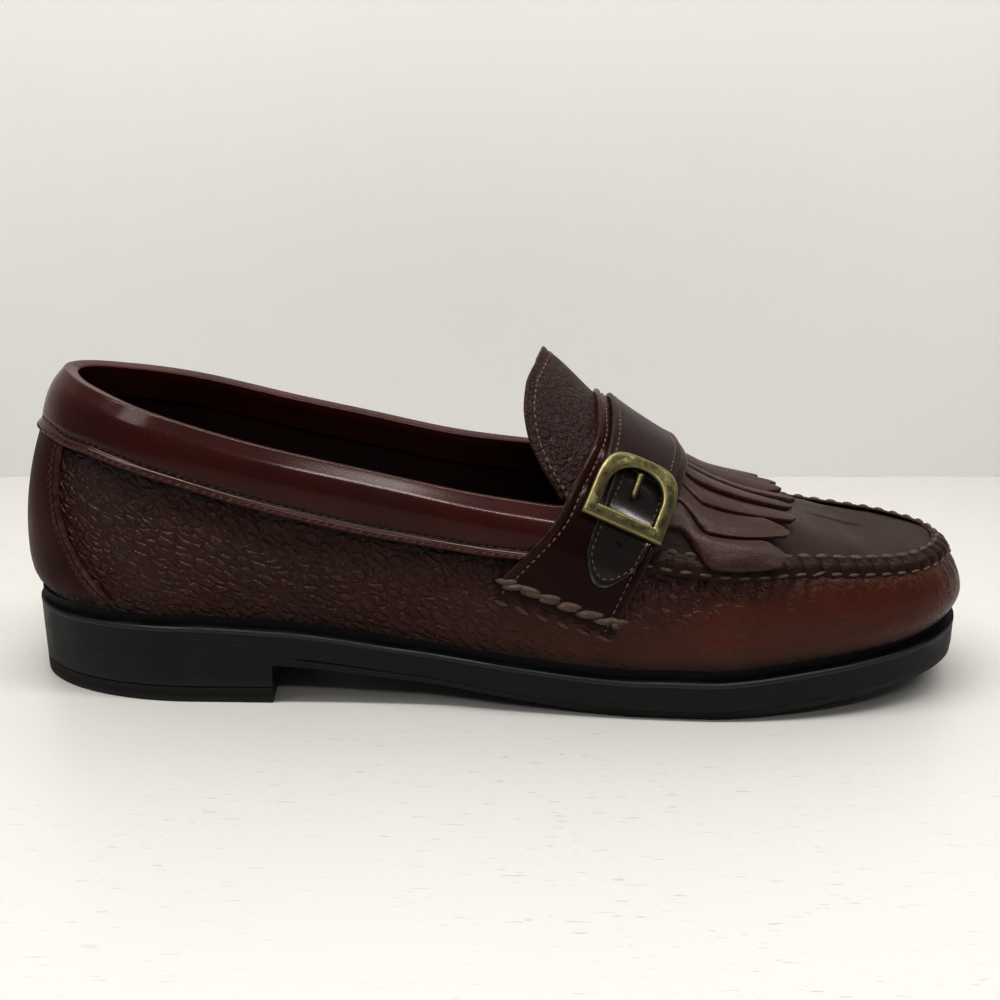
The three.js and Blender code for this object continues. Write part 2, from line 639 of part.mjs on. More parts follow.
// The kiltie: a yoke under the saddle, cut into a fringe of strips with notched, slightly lifted tips
function kiltieGeometry() {
  const cellsOfStrip = 3;
  const yokeRows = YOKE.length - 1;
  const stripRows = 5;
  const slit = STRIP_GAP / BALL_WIDTH;
  const rows = cellsOfStrip * STRIPS - 1;
  return sheet(rows, yokeRows + stripRows, (u, v, layer) => {
    const line = Math.round(u * rows);
    const strip = Math.floor(line / cellsOfStrip);
    const inStrip = line % cellsOfStrip;
    const row = Math.round(v * (yokeRows + stripRows));
    const down = Math.max(0, (row - yokeRows) / stripRows);
    const half = down > 0 ? slit : slit / 10;
    const from = 2 * strip / STRIPS - 1 + (strip > 0 ? half : 0);
    const to = 2 * (strip + 1) / STRIPS - 1 - (strip < STRIPS - 1 ? half : 0);
    const p = lerp(from, to, inStrip / (cellsOfStrip - 1));
    const middle = (2 * strip + 1) / STRIPS - 1;
    const reach = lerp(KILTIE_TIP.ridge, KILTIE_TIP.side, middle ** 2);
    const notch = KILTIE_NOTCH / LENGTH * ((inStrip === 1 ? 1 : 0) - strip % 2) / 2;
    const s = row <= yokeRows ? YOKE[row] : lerp(YOKE[yokeRows], reach + notch, down);
    const turn = p * kiltieSide(s);
    const grow = GAP + overBead(s, turn) + STRIP_CURL * down ** 2 + layer * TONGUE_THICKNESS;
    return lastPoint(s, turn, grow);
  }, (i, j) => j < yokeRows || i % cellsOfStrip < cellsOfStrip - 1);
}

const strapSeat = (turn) => saddleSeat(turn) + SADDLE_THICKNESS + GAP;

function strapGeometry() {
  const [back, front] = [edge('strapBack'), edge('strapFront')];
  const { at } = BUCKLE_CENTRE;
  return sheet(24, 3, (u, v, layer) => {
    const turn = lerp(-turnAt(at, STRAP_END.lateral), turnAt(at, STRAP_END.medial), u);
    const up = heightAt(at, turn);
    const s = lerp(back(up), front(up), v);
    return lastPoint(s, Math.sign(turn) * turnAt(s, up), strapSeat(turn) + layer * STRAP_THICKNESS);
  });
}

// The strap's narrow end, from the strap through the buckle to its rounded tip
function billetGeometry() {
  const half = BILLET_WIDTH / 2 / LENGTH;
  return sheet(12, 6, (u, v, layer) => {
    const across = 2 * v - 1;
    const tip = BILLET_TIP.up + BILLET_TIP.round * across ** 2;
    const up = lerp(STRAP_END.lateral - GAP / crown(BUCKLE_CENTRE.at) * 2, tip, u);
    const middle = BUCKLE_CENTRE.at + BILLET_SLANT * (up - BUCKLE_CENTRE.up) + STRAP_THICKNESS / LENGTH;
    const s = middle + across * half * (1 - BILLET_TIP.narrow * u ** 6);
    const turn = turnAt(s, up);
    return lastPoint(s, -turn, strapSeat(turn) + layer * STRAP_THICKNESS);
  });
}

// The outline of the buckle: a straight bar below and a round arch over it
function buckleOutline(inset, Kind) {
  const half = BUCKLE_WIDTH / 2 - inset;
  const low = -BUCKLE_HEIGHT / 2 + inset;
  const high = BUCKLE_HEIGHT / 2 - inset;
  const shoulder = lerp(low, high, BUCKLE_SHOULDER.up);
  const bow = half * BUCKLE_SHOULDER.round;
  const path = new Kind();
  path.moveTo(-half, low);
  path.lineTo(half, low);
  path.lineTo(half, shoulder);
  path.bezierCurveTo(half, high - inset, bow, high, 0, high);
  path.bezierCurveTo(-bow, high, -half, high - inset, -half, shoulder);
  path.lineTo(-half, low);
  return path;
}

// Where the buckle lies: flat on the billet, its bar tilted down to the front
function buckleFrame(stack) {
  const { at, up } = BUCKLE_CENTRE;
  const turn = turnAt(at, up);
  const grow = strapSeat(turn) + STRAP_THICKNESS + GAP + stack;
  const place = lastPoint(at, -turn, grow);
  const step = 0.02;
  const along = lastPoint(at + step, -turn, grow).sub(lastPoint(at - step, -turn, grow)).normalize();
  const over = lastPoint(at, -turn + step, grow).sub(lastPoint(at, -turn - step, grow)).normalize();
  const out = new THREE.Vector3().crossVectors(along, over).normalize();
  const bar = along.clone().applyAxisAngle(out, -THREE.MathUtils.degToRad(BUCKLE_TILT));
  const high = new THREE.Vector3().crossVectors(out, bar);
  return new THREE.Matrix4().makeBasis(bar, high, out).setPosition(place);
}

// Bends a flat piece of the buckle round the instep
function bend(geometry) {
  const place = geometry.getAttribute('position');
  for (let i = 0; i < place.count; i += 1) {
    place.setZ(i, place.getZ(i) - place.getY(i) ** 2 / (2 * BUCKLE_BEND));
  }
  return geometry;
}

function buckleGeometry() {
  const shape = buckleOutline(0, THREE.Shape);
  shape.holes.push(buckleOutline(BUCKLE_BAND, THREE.Path));
  const flat = new THREE.ExtrudeGeometry(shape, {
    depth: BUCKLE_THICKNESS - 2 * BUCKLE_BEVEL,
    bevelThickness: BUCKLE_BEVEL,
    bevelSize: BUCKLE_BEVEL,
    bevelOffset: -BUCKLE_BEVEL,
    bevelSegments: 1,
    curveSegments: 10,
  });
  flat.translate(0, 0, BUCKLE_BEVEL + BUCKLE_STAND);
  const frame = geometryOf(solidOf(bend(flat)));
  return frame.applyMatrix4(buckleFrame(0));
}

function prongGeometry() {
  const top = BUCKLE_HEIGHT / 2 - BUCKLE_BAND - GAP;
  const pin = new THREE.CapsuleGeometry(PRONG_THICKNESS / 2, PRONG_LENGTH - PRONG_THICKNESS, 3, 8);
  pin.translate(0, top - PRONG_LENGTH / 2, PRONG_THICKNESS / 2 + GAP);
  return geometryOf(solidOf(pin)).applyMatrix4(buckleFrame(0));
}

const shoe = new THREE.Group();

function addPiece(name, geometry, colour, roughness, metalness) {
  const material = new THREE.MeshStandardMaterial({ color: colour, roughness, metalness });
  const mesh = new THREE.Mesh(geometry, material);
  mesh.name = name;
  shoe.add(mesh);
}

addPiece('outsole', outsoleGeometry(), COLOURS.rubber, 0.7, 0);
addPiece('heel_lift', liftGeometry(), COLOURS.rubber, 0.8, 0);
addPiece('midsole', midsoleGeometry(), COLOURS.rubber, 0.75, 0);
addPiece('insole', insoleGeometry(), COLOURS.sock, 0.6, 0);
addPiece('upper', upperGeometry(), COLOURS.quarter, 0.45, 0);
addPiece('collar_band', bandGeometry(), COLOURS.burgundy, 0.3, 0);
addPiece('back_stay', stayGeometry(), COLOURS.burgundy, 0.35, 0);
addPiece('tongue', tongueGeometry(), COLOURS.taupe, 0.5, 0);
addPiece('kiltie', kiltieGeometry(), COLOURS.taupe, 0.45, 0);
addPiece('saddle', saddleGeometry(), COLOURS.burgundy, 0.35, 0);
addPiece('cross_strap', strapGeometry(), COLOURS.brown, 0.4, 0);
addPiece('billet', billetGeometry(), COLOURS.billet, 0.2, 0);
addPiece('buckle_frame', buckleGeometry(), COLOURS.brass, 0.4, 0.9);
addPiece('buckle_prong', prongGeometry(), COLOURS.brass, 0.4, 0.9);

const box = new THREE.Box3().setFromObject(shoe);
shoe.position.set(-(box.min.x + box.max.x) / 2, -(box.min.y + box.max.y) / 2, -box.min.z);

export default shoe;
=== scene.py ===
"""Kiltie buckle loafer for the right foot: leather, stitching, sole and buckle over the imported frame.

Sizes in the tables and functions are millimetres on the last: x from the heel, y to the medial side, z up.
"""

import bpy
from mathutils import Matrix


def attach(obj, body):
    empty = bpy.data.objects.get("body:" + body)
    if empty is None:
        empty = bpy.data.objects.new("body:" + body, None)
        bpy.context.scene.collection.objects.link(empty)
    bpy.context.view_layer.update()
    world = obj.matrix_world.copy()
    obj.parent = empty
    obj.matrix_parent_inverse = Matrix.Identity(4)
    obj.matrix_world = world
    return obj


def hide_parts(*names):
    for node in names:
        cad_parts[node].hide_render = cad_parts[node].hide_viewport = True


bl_info = {
    "name": "Kiltie Buckle Loafer",
    "version": (1, 0, 0),
    "blender": (4, 5, 0),
    "location": "View3D > Sidebar > Loafer",
    "description": "Builds the dressed pieces of a kiltie buckle loafer over its frame",
    "category": "Object",
}

import math

import bmesh
import bpy
import numpy as np
from mathutils import Matrix, Vector

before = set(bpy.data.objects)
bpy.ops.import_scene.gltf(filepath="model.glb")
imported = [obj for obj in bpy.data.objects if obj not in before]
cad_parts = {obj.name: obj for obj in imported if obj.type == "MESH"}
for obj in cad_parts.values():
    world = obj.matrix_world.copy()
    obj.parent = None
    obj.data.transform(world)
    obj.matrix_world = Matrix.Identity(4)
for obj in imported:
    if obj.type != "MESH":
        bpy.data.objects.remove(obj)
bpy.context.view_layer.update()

MM = 0.001
# Where the last's heel point lies in the frame
ORIGIN = np.array([-153.0997, -1.7326, 0.0])

# Driving dimensions of the last, the sole and the pieces, as in the frame
LENGTH, BALL_WIDTH, INSTEP, TOE_SWING, WALL = 305.0, 100.5, 68.0, 3.0, 2.0
HEEL_ROUND, HEEL_SET, HEEL_LEAN, COLLAR_HEIGHT, COLLAR_MEDIAL_RISE = 58.0, 3.0, 15.0, 97.0, 3.6
TOE_ROLL, EDGE_TUCK, TOE_POWER = 9.0, 2.6, 2.4
HEEL_HEIGHT, LIFT_THICKNESS, HEEL_LENGTH, HEEL_TAPER, BREAST_HOLLOW = 13.5, 5.0, 89.5, 0.6, 5.0
SOLE_THICKNESS, SOLE_INSET, TREAD_INSET, RIDGE_PROUD, TOE_SPRING = 12.5, 2.5, 1.6, 0.8, 11.2
LEDGE_HEIGHT, LEDGE_INSET, INSOLE_THICKNESS = 3.2, 1.2, 3.0
BAND_HEIGHT, BAND_THICKNESS, BAND_TURN_IN, STAY_THICKNESS = 16.8, 2.6, 9.0, 1.2
TONGUE_THICKNESS, SADDLE_THICKNESS, STRAP_THICKNESS = 1.5, 1.6, 1.5
SEAM_WIDTH, SEAM_HEIGHT, STRIP_GAP, STRIP_CURL, KILTIE_NOTCH, STRIPS = 7.0, 1.8, 0.9, 2.4, 3.0, 10
BUCKLE_WIDTH, BUCKLE_HEIGHT, BUCKLE_BAND = 24.5, 23.0, 4.0
BUCKLE_STAND, BUCKLE_TILT, BUCKLE_BEND, BILLET_WIDTH, PRONG_LENGTH = 0.9, -2.0, 60.0, 15.0, 9.0
GAP = 0.3

HEEL_SHARE = HEEL_ROUND / LENGTH
BREAST = HEEL_LENGTH / LENGTH
TOE_START, SWING_START, LEAN_END, ROLL_START = 0.72, 0.62, 0.3, 0.9
HEEL_BULGE, TUCK_HEIGHT = 0.19, 0.35

STAY_EDGE = {"top": 0.052, "foot": 0.121, "low": 0.03, "round": 1.7}
SADDLE_FOOT = {"back": 0.235, "front": 0.165}
SADDLE_SEAT = {"high": 0.68, "low": 0.84}
TONGUE_FOOT = 0.67
STRAP_END = {"lateral": 0.80, "medial": 0.34}
BILLET_TIP = {"up": 0.345, "round": 0.11, "narrow": 0.12}
BILLET_SLANT = 0.09
KILTIE_LOW = {"root": 0.15, "tip": -0.03}
KILTIE_LIFT = {"high": 0.17, "low": 0.10}
YOKE = (0.655, 0.684, 0.712)
KILTIE_TIP = {"ridge": 0.806, "side": 0.757}
BUCKLE_CENTRE = {"at": 0.635, "up": 0.72}
BUCKLE_SHOULDER = {"up": 0.45, "round": 0.6}


def table(names, rows):
    """A table's rows as one array for each named column."""
    return dict(zip(names.split(), np.array(rows, float).T))


STATIONS = table("at lateral medial arch spring thick crown full", [
    (0.00, 0.77, 0.73, 1.00, 0.00, 0.93, 1.36, 2.4),
    (0.12, 0.78, 0.74, 1.00, 0.00, 0.93, 1.36, 2.4),
    (0.20, 0.785, 0.74, 1.00, 0.00, 0.92, 1.34, 2.4),
    (0.30, 0.785, 0.73, 0.92, 0.00, 0.88, 1.35, 2.4),
    (0.42, 0.79, 0.72, 0.58, 0.00, 0.86, 1.36, 2.3),
    (0.53, 0.87, 0.82, 0.26, 0.00, 0.90, 1.26, 2.2),
    (0.62, 0.93, 0.93, 0.04, 0.00, 0.96, 1.02, 2.2),
    (0.65, 0.946, 0.963, 0.00, 0.00, 0.985, 0.924, 2.27),
    (0.68, 0.96, 0.99, 0.00, 0.00, 1.00, 0.83, 2.4),
    (0.72, 0.977, 1.015, 0.00, 0.00, 1.00, 0.728, 2.66),
    (0.74, 0.98, 1.02, 0.00, 0.03, 1.00, 0.68, 2.8),
    (0.80, 0.98, 1.02, 0.00, 0.22, 1.00, 0.54, 3.2),
    (0.86, 0.98, 1.02, 0.00, 0.44, 0.97, 0.43, 3.5),
    (0.92, 0.98, 1.02, 0.00, 0.68, 0.93, 0.355, 3.5),
    (1.00, 0.98, 1.02, 0.00, 1.00, 0.88, 0.295, 3.2),
])
RIM = table("at up medial band", [
    (0.000, 1.010, 0.0, 1.05),
    (0.050, 1.005, 0.0, 1.05),
    (0.100, 0.966, 0.2, 0.96),
    (0.175, 0.898, 0.6, 0.95),
    (0.272, 0.812, 0.9, 0.97),
    (0.370, 0.742, 1.0, 1.00),
    (0.480, 0.670, 1.0, 0.90),
    (0.565, 0.633, 1.0, 0.82),
])
SADDLE_EDGES = table("up back front strap_back strap_front", [
    (0.00, 0.455, 0.610, 0.560, 0.640),
    (0.24, 0.508, 0.630, 0.570, 0.645),
    (0.53, 0.567, 0.654, 0.590, 0.650),
    (0.67, 0.582, 0.667, 0.602, 0.663),
    (0.80, 0.597, 0.679, 0.611, 0.672),
    (0.92, 0.607, 0.690, 0.619, 0.683),
    (1.00, 0.608, 0.700, 0.622, 0.692),
])
# Back edge of the tongue flap
FLAP = table("up at", [
    (0.00, 0.590), (0.53, 0.584), (0.61, 0.572), (0.70, 0.550), (0.77, 0.540),
    (0.85, 0.536), (0.92, 0.538), (1.00, 0.548),
])
SEAM_START = 0.650
SEAM = table("at up", [(0.662, 0.55), (0.735, 0.64), (0.830, 0.80), (0.930, 0.86), (1.000, 0.88)])
# The band's section by steps from its inner end, over the rim at 2 to 3, to its lower border at 7.
# down: shares of BAND_TURN_IN (negative) or of its height. rise and show: shares of its thickness.
BAND_SECTION = table("step down rise show", [
    (0, -1.00, 0.0, 0.35), (1, -0.15, 0.0, 0.60), (2, 0.00, 0.4, 0.40), (3, 0.00, 0.7, 0.35),
    (4, 0.10, 0.0, 0.85), (5, 0.32, 0.0, 1.00), (6, 0.68, 0.0, 0.74), (7, 1.00, 0.0, 0.36),
])
SIDE_WALL = table("up inset proud", [
    (0.00, 1.15, 0.0), (0.015, 1.0, 0.0), (0.185, 0.55, 0.0), (0.20, 0.45, 0.0), (0.215, 0.25, -0.45),
    (0.235, 0.0, -0.4), (0.25, 0.0, 0.0), (0.50, 0.0, 0.12), (0.78, 0.0, 0.0), (0.82, 0.0, 0.1),
    (0.86, 0.0, 0.85), (0.89, 0.0, 1.0), (0.93, 0.0, 1.0), (0.965, 0.0, 0.85), (1.00, 0.0, 0.2),
])


# The last

def lerp(a, b, t):
    return a + (b - a) * t


def smooth(x, low, high):
    """A smooth step from 0 at low to 1 at high."""
    t = np.clip((np.asarray(x, float) - low) / (high - low), 0, 1)
    return t * t * (3 - 2 * t)


def column(rows, start, key):
    """A smooth curve through one column of a table, with no overshoot at its rows."""
    x, y = rows[start], rows[key]
    slope = np.diff(y) / np.diff(x)
    tangent = np.concatenate([slope[:1], np.zeros(len(y) - 2), slope[-1:]])
    for i in range(1, len(y) - 1):
        before, after = slope[i - 1], slope[i]
        tangent[i] = 0 if before * after <= 0 else 2 * before * after / (before + after)

    def at(value):
        v = np.clip(value, x[0], x[-1])
        i = np.clip(np.searchsorted(x, v) - 1, 0, len(x) - 2)
        span = x[i + 1] - x[i]
        t = (v - x[i]) / span
        return (y[i] * (2 * t**3 - 3 * t**2 + 1) + y[i + 1] * (3 * t**2 - 2 * t**3)
                + tangent[i] * span * (t**3 - 2 * t**2 + t) + tangent[i + 1] * span * (t**3 - t**2))
    return at


LAST = {key: column(STATIONS, "at", key) for key in STATIONS if key != "at"}
EDGE = {key: column(SADDLE_EDGES, "up", key) for key in SADDLE_EDGES if key != "up"}
rim_up, rim_medial, band_share = (column(RIM, "at", key) for key in ("up", "medial", "band"))
seam_up = column(SEAM, "at", "up")
flap_at = column(FLAP, "up", "at")


def cap(s):
    """Share of the full width, closing round the heel and the toe."""
    heel = np.sqrt(np.maximum(0, 1 - (1 - np.minimum(s, HEEL_SHARE) / HEEL_SHARE) ** 2))
    t = np.maximum(0, (s - TOE_START) / (1 - TOE_START))
    toe = np.maximum(0, 1 - t**TOE_POWER) ** (1 / TOE_POWER)
    return np.where(s < HEEL_SHARE, heel, np.where(s < TOE_START, 1.0, toe))


def rise(s):
    """Height of the sole's underside."""
    return HEEL_HEIGHT * LAST["arch"](s) + TOE_SPRING * LAST["spring"](s)


def sole_top(s):
    return rise(s) + SOLE_THICKNESS * LAST["thick"](s)


def feather(s):
    """Height of the upper's lowest edge."""
    return sole_top(s) + LEDGE_HEIGHT


def crown(s):
    """Height of the ridge above the lowest edge."""
    return INSTEP * LAST["crown"](s)


def centre(s):
    """How far the forefoot swings to the medial side."""
    return TOE_SWING * smooth(s, SWING_START, 1)


def half_width(s, side):
    return np.where(side < 0, LAST["lateral"](s), LAST["medial"](s)) * BALL_WIDTH / 2


def lean(s, z):
    """How far the back of the heel leans forward at a height."""
    low = feather(0.0)
    bulge = lerp(low, COLLAR_HEIGHT, HEEL_BULGE)
    over = z > bulge
    reach = np.where(over, (z - bulge) / (COLLAR_HEIGHT - bulge), (bulge - z) / (bulge - low))
    return (HEEL_SET + np.where(over, HEEL_LEAN, EDGE_TUCK) * reach**2) * (1 - smooth(s, 0, LEAN_END))


def toe_roll(s, up):
    """How far the wall of the toe rolls back at a share of its height."""
    low = np.maximum(0, 1 - up / TUCK_HEIGHT) ** 2
    return (TOE_ROLL * up**3 + EDGE_TUCK * low) * smooth(s, ROLL_START, 1)


def turn_at(s, up):
    """Turn of the point at a share of the section's height."""
    n = LAST["full"](s)
    height = np.clip(up, 0, 1)
    return np.arctan2((1 - height**n) ** (1 / n), height) * 2 / np.pi


def height_at(s, turn):
    """Share of the section's height at a turn."""
    n = LAST["full"](s)
    angle = np.minimum(np.abs(turn), 1) * np.pi / 2
    return np.cos(angle) * (np.sin(angle) ** n + np.maximum(np.cos(angle), 0) ** n) ** (-1 / n)


def last_point(s, turn, grow):
    """Points of the last, grown by an even thickness. turn: -1 lateral feather edge, 0 ridge, 1 medial."""
    s, turn, grow = np.broadcast_arrays(*(np.asarray(v, float) for v in (s, turn, grow)))
    n = LAST["full"](s)
    angle = np.abs(turn) * np.pi / 2
    level = np.maximum(np.cos(angle), 0)
    radius = (np.sin(angle) ** n + level**n) ** (-1 / n)
    up = np.where(np.abs(turn) >= 1, 0, radius * level)
    tuck = EDGE_TUCK * np.maximum(0, 1 - up / TUCK_HEIGHT) ** 2
    half = np.maximum(0, half_width(s, turn) + grow - tuck) * cap(s)
    z = feather(s) + up * (crown(s) + grow)
    x = s * LENGTH + grow * (2 * s - 1) + lean(s, z) - toe_roll(s, up)
    return np.stack([x, centre(s) + np.sign(turn) * radius * np.sin(angle) * half, z], axis=-1)


def rim_height(x, side):
    """Height of the collar's rim."""
    at = x / LENGTH
    return COLLAR_HEIGHT * rim_up(at) + np.where(side > 0, COLLAR_MEDIAL_RISE * rim_medial(at), 0)


def rim_share(s, side, depth, grow):
    """Height in the section of the rim, or of a line a depth below it."""
    z = COLLAR_HEIGHT
    # The heel's lean depends on the height that it changes, so some rounds settle the two
    for _ in range(12):
        z = rim_height(s * LENGTH + grow * (2 * s - 1) + lean(s, z), side) - depth
    return (z - feather(s)) / (crown(s) + grow)


def heel_share(t):
    """Share of length from the middle of the heel's back to where its round ends."""
    return HEEL_SHARE * (1 - np.cos(np.clip(t, 0, 1) * np.pi / 2))


def toe_share(t):
    """Share of length from where the toe's round starts to its middle."""
    return lerp(TOE_START, 1, np.sin(np.clip(t, 0, 1) * np.pi / 2))


def round_heel(t, end):
    """Share of length at a share of the way from the middle of the heel round to a forward end."""
    start = 0.40
    return np.where(t < start, heel_share(t / start), lerp(HEEL_SHARE, end, (t - start) / (1 - start)))


def heel_to_toe(t):
    """Share of length at a share of the way from the middle of the heel round to the middle of the toe."""
    heel_end, toe_begin = 0.22, 0.70
    waist = lerp(HEEL_SHARE, TOE_START, (t - heel_end) / (toe_begin - heel_end))
    toe = toe_share((t - toe_begin) / (1 - toe_begin))
    return np.where(t < heel_end, heel_share(t / heel_end), np.where(t > toe_begin, toe, waist))


def side_of(p):
    """-1 for the lateral half of a piece and 1 for its medial half."""
    return np.where(p < 0, -1.0, 1.0)


# Meshes

def knots(length, step, rim=1.0, first=True, last=True):
    """Parameters from 0 to 1 for a span in millimetres, closer together near rounded borders."""
    near = np.array([0, 0.12, 0.35, 0.7, 1.2]) * rim / length
    low = near if first else np.array([0.0])
    high = 1 - near[::-1] if last else np.array([1.0])
    count = max(2, int(round(length / step)))
    inner = np.linspace(low[-1], high[0], count + 1)[1:-1]
    return np.concatenate([low, inner, high])


def grid_faces(rows, cols):
    i, j = np.meshgrid(np.arange(rows - 1), np.arange(cols - 1), indexing="ij")
    a = (i * cols + j).ravel()
    return np.stack([a, a + cols, a + cols + 1, a + 1], axis=1)


def ring_faces(rings, count):
    i, j = np.meshgrid(np.arange(rings - 1), np.arange(count), indexing="ij")
    a, b = i * count + j, i * count + (j + 1) % count
    return np.stack([a.ravel(), b.ravel(), (b + count).ravel(), (a + count).ravel()], axis=1)


def closed_faces(rows, cols):
    """Faces of a closed sheet: an upper grid of points, a lower one after it, and the walls between them."""
    n = rows * cols
    ids = np.arange(n).reshape(rows, cols)
    loop = np.concatenate([ids[:, 0], ids[-1, 1:], ids[-2::-1, -1], ids[0, -2:0:-1]])
    after = np.roll(loop, -1)
    walls = np.stack([loop, after, after + n, loop + n], axis=1)
    upper = grid_faces(rows, cols)
    return np.concatenate([upper, upper[:, ::-1] + n, walls])


def repeated(faces, size, count):
    """The faces of a mesh of a number of points, repeated for each of its copies."""
    return (faces[None] + (np.arange(count) * size)[:, None, None]).reshape(-1, 4)


def add_object(name, points, faces, material, nodes=(), masks=None, sharp=50, outward=True):
    """A piece from points in millimetres on the last, riding on the root body."""
    mesh = bpy.data.meshes.new(name)
    mesh.from_pydata(((points + ORIGIN) * MM).tolist(), [], [tuple(f) for f in faces])
    for key, values in (masks or {}).items():
        layer = mesh.attributes.new(key, "FLOAT", "POINT")
        layer.data.foreach_set("value", np.asarray(values, np.float32))
    if outward:
        work = bmesh.new()
        work.from_mesh(mesh)
        bmesh.ops.recalc_face_normals(work, faces=work.faces)
        work.to_mesh(mesh)
        work.free()
    mesh.polygons.foreach_set("use_smooth", [True] * len(mesh.polygons))
    mesh.set_sharp_from_angle(angle=math.radians(sharp))
    mesh.materials.append(material)
    obj = bpy.data.objects.new(name, mesh)
    bpy.context.scene.collection.objects.link(obj)
    if nodes:
        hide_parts(*nodes)
    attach(obj, "root")
    return obj


def grid_normals(grid, outward):
    """Unit normals of a grid of points, on the side that outward points to."""
    normal = np.cross(np.gradient(grid, axis=0), np.gradient(grid, axis=1))
    size = np.linalg.norm(normal, axis=-1, keepdims=True)
    normal = normal / np.maximum(size, 1e-9)
    return normal * np.where(np.sum(normal * outward, axis=-1, keepdims=True) < 0, -1, 1)


# Farther than any point of a piece is from a border, in millimetres
FAR = 1e3


class Spread:
    """How a piece lies: shares u and v of its grid, share of length s, turn, and distances from its borders."""

    def __init__(self, u, v, s, turn, top):
        self.u, self.v, self.s, self.turn = u, v, s, turn
        self.away = {}
        for axis, (low, high) in enumerate((("u0", "u1"), ("v0", "v1"))):
            step = np.linalg.norm(np.diff(top, axis=axis), axis=-1)
            zero = np.zeros_like(np.take(step, [0], axis=axis))
            run = np.concatenate([zero, np.cumsum(step, axis=axis)], axis=axis)
            self.away[low] = run
            self.away[high] = np.take(run, [-1], axis=axis) - run

    def near(self, borders):
        """Distance from the nearest of the named borders, along the grid's own lines."""
        away = [self.away[border] for border in borders.split()]
        return np.minimum.reduce([np.full(self.u.shape, FAR), *away])


class Surface:
    """The upper face of a leather piece: its grid of points, its normals and how it lies."""

    def __init__(self, points, normals, spread):
        self.points, self.normals, self.spread = points, normals, spread

    def path(self, border, inset):
        """The line at an inset from one border, as points and normals."""
        run = self.spread.away[border]
        points, normals = self.points, self.normals
        if border[0] == "u":
            run, points, normals = run.T, points.swapaxes(0, 1), normals.swapaxes(0, 1)
        if border[1] == "1":
            run, points, normals = run[:, ::-1], points[:, ::-1], normals[:, ::-1]
        j = np.clip(np.argmax(run >= inset, axis=1), 1, run.shape[1] - 1)
        i = np.arange(len(run))
        t = np.clip((inset - run[i, j - 1]) / np.maximum(run[i, j] - run[i, j - 1], 1e-9), 0, 1)[:, None]
        return lerp(points[i, j - 1], points[i, j], t), lerp(normals[i, j - 1], normals[i, j], t)


def leather_piece(name, place, us, vs, thick, material, nodes=(), borders="u0 u1 v0 v1",
                  rim=0.8, relief=None, masks=None):
    """A closed piece of leather laid on the last.

    place gives share of length, turn and the underside's growth at shares u and v. relief gives
    millimetres, and each mask shares from 0 to 1, from the piece's Spread. The named borders are
    rounded, with a rim of so many millimetres, and rubbed.
    """
    u, v = np.meshgrid(us, vs, indexing="ij")
    s, turn, grow = np.broadcast_arrays(*place(u, v))
    under = last_point(s, turn, grow)
    top = last_point(s, turn, grow + thick)
    outward = last_point(s, turn, grow + thick + 1) - top
    spread = Spread(u, v, s, turn, top)
    near = spread.near(borders)
    lift = 0.25 + 0.75 * np.sqrt(1 - (1 - np.clip(near / rim, 0, 1)) ** 2)
    over = under + (top - under) * lift[..., None]
    if relief is not None:
        over = over + grid_normals(top, outward) * relief(spread)[..., None]
    points = np.concatenate([over.reshape(-1, 3), under.reshape(-1, 3)])
    layers = {"edge": np.clip(1.15 - near / 1.3, 0, 1)}
    layers.update({key: mask(spread) for key, mask in (masks or {}).items()})
    layers = {key: np.tile(np.broadcast_to(value, u.shape).ravel(), 2) for key, value in layers.items()}
    add_object(name, points, closed_faces(*u.shape), material, nodes, layers, sharp=60)
    return Surface(over, grid_normals(over, outward), spread)


def unit(v):
    return v / np.maximum(np.linalg.norm(v, axis=-1, keepdims=True), 1e-9)


def run_along(points):
    """Distance along a line of points from its first."""
    return np.concatenate([[0], np.cumsum(np.linalg.norm(np.diff(points, axis=0), axis=1))])


def resample(points, normals, pitch, lead=0.5):
    """Evenly spaced points on a line, with their normals and tangents."""
    run = run_along(points)
    count = max(1, int(run[-1] / pitch))
    where = (np.arange(count) + lead) * run[-1] / count
    take = lambda at, values: np.stack([np.interp(at, run, values[:, k]) for k in range(3)], axis=1)
    reach = pitch / 3
    tangent = take(np.minimum(where + reach, run[-1]), points) - take(np.maximum(where - reach, 0), points)
    return take(where, points), unit(take(where, normals)), unit(tangent)


def grain_of_rice(around=8, along=7):
    """A unit stitch: a fat thread that dips at both ends, 2 long, 2 wide and 1 high over the surface."""
    rings = []
    for t in np.linspace(-1, 1, along):
        width = max(0.12, (1 - abs(t) ** 2.6) ** 0.6)
        angle = np.arange(around) / around * 2 * np.pi
        dip = -0.55 * abs(t) ** 2.2
        across, high = width * np.cos(angle), dip + width * np.sin(angle)
        rings.append(np.stack([np.full(around, t), across, high], axis=1))
    return np.concatenate(rings), ring_faces(along, around)


def stitch_row(name, line, pitch, size, material, slant=0.0, sink=0.25, lead=0.5, wander=0.06, seed=3):
    """A row of stitches along a line, joined in one mesh. size: half length, half width, height."""
    points, normals, tangents = resample(*line, pitch, lead)
    rng = np.random.default_rng(seed)
    base, faces = grain_of_rice()
    side = unit(np.cross(normals, tangents))
    angle = np.radians(slant) + wander * rng.standard_normal(len(points))
    along = tangents * np.cos(angle)[:, None] + side * np.sin(angle)[:, None]
    across = unit(np.cross(normals, along))
    scale = np.array(size) * (1 + wander * rng.standard_normal((len(points), 3)) * 0.6)
    start = points - normals * sink * size[2]
    made = (start[:, None] + base[None, :, :1] * scale[:, None, :1] * along[:, None]
            + base[None, :, 1:2] * scale[:, None, 1:2] * across[:, None]
            + base[None, :, 2:] * scale[:, None, 2:] * normals[:, None])
    index = repeated(faces, len(base), len(points))
    return add_object(name, made.reshape(-1, 3), index, material, outward=False)


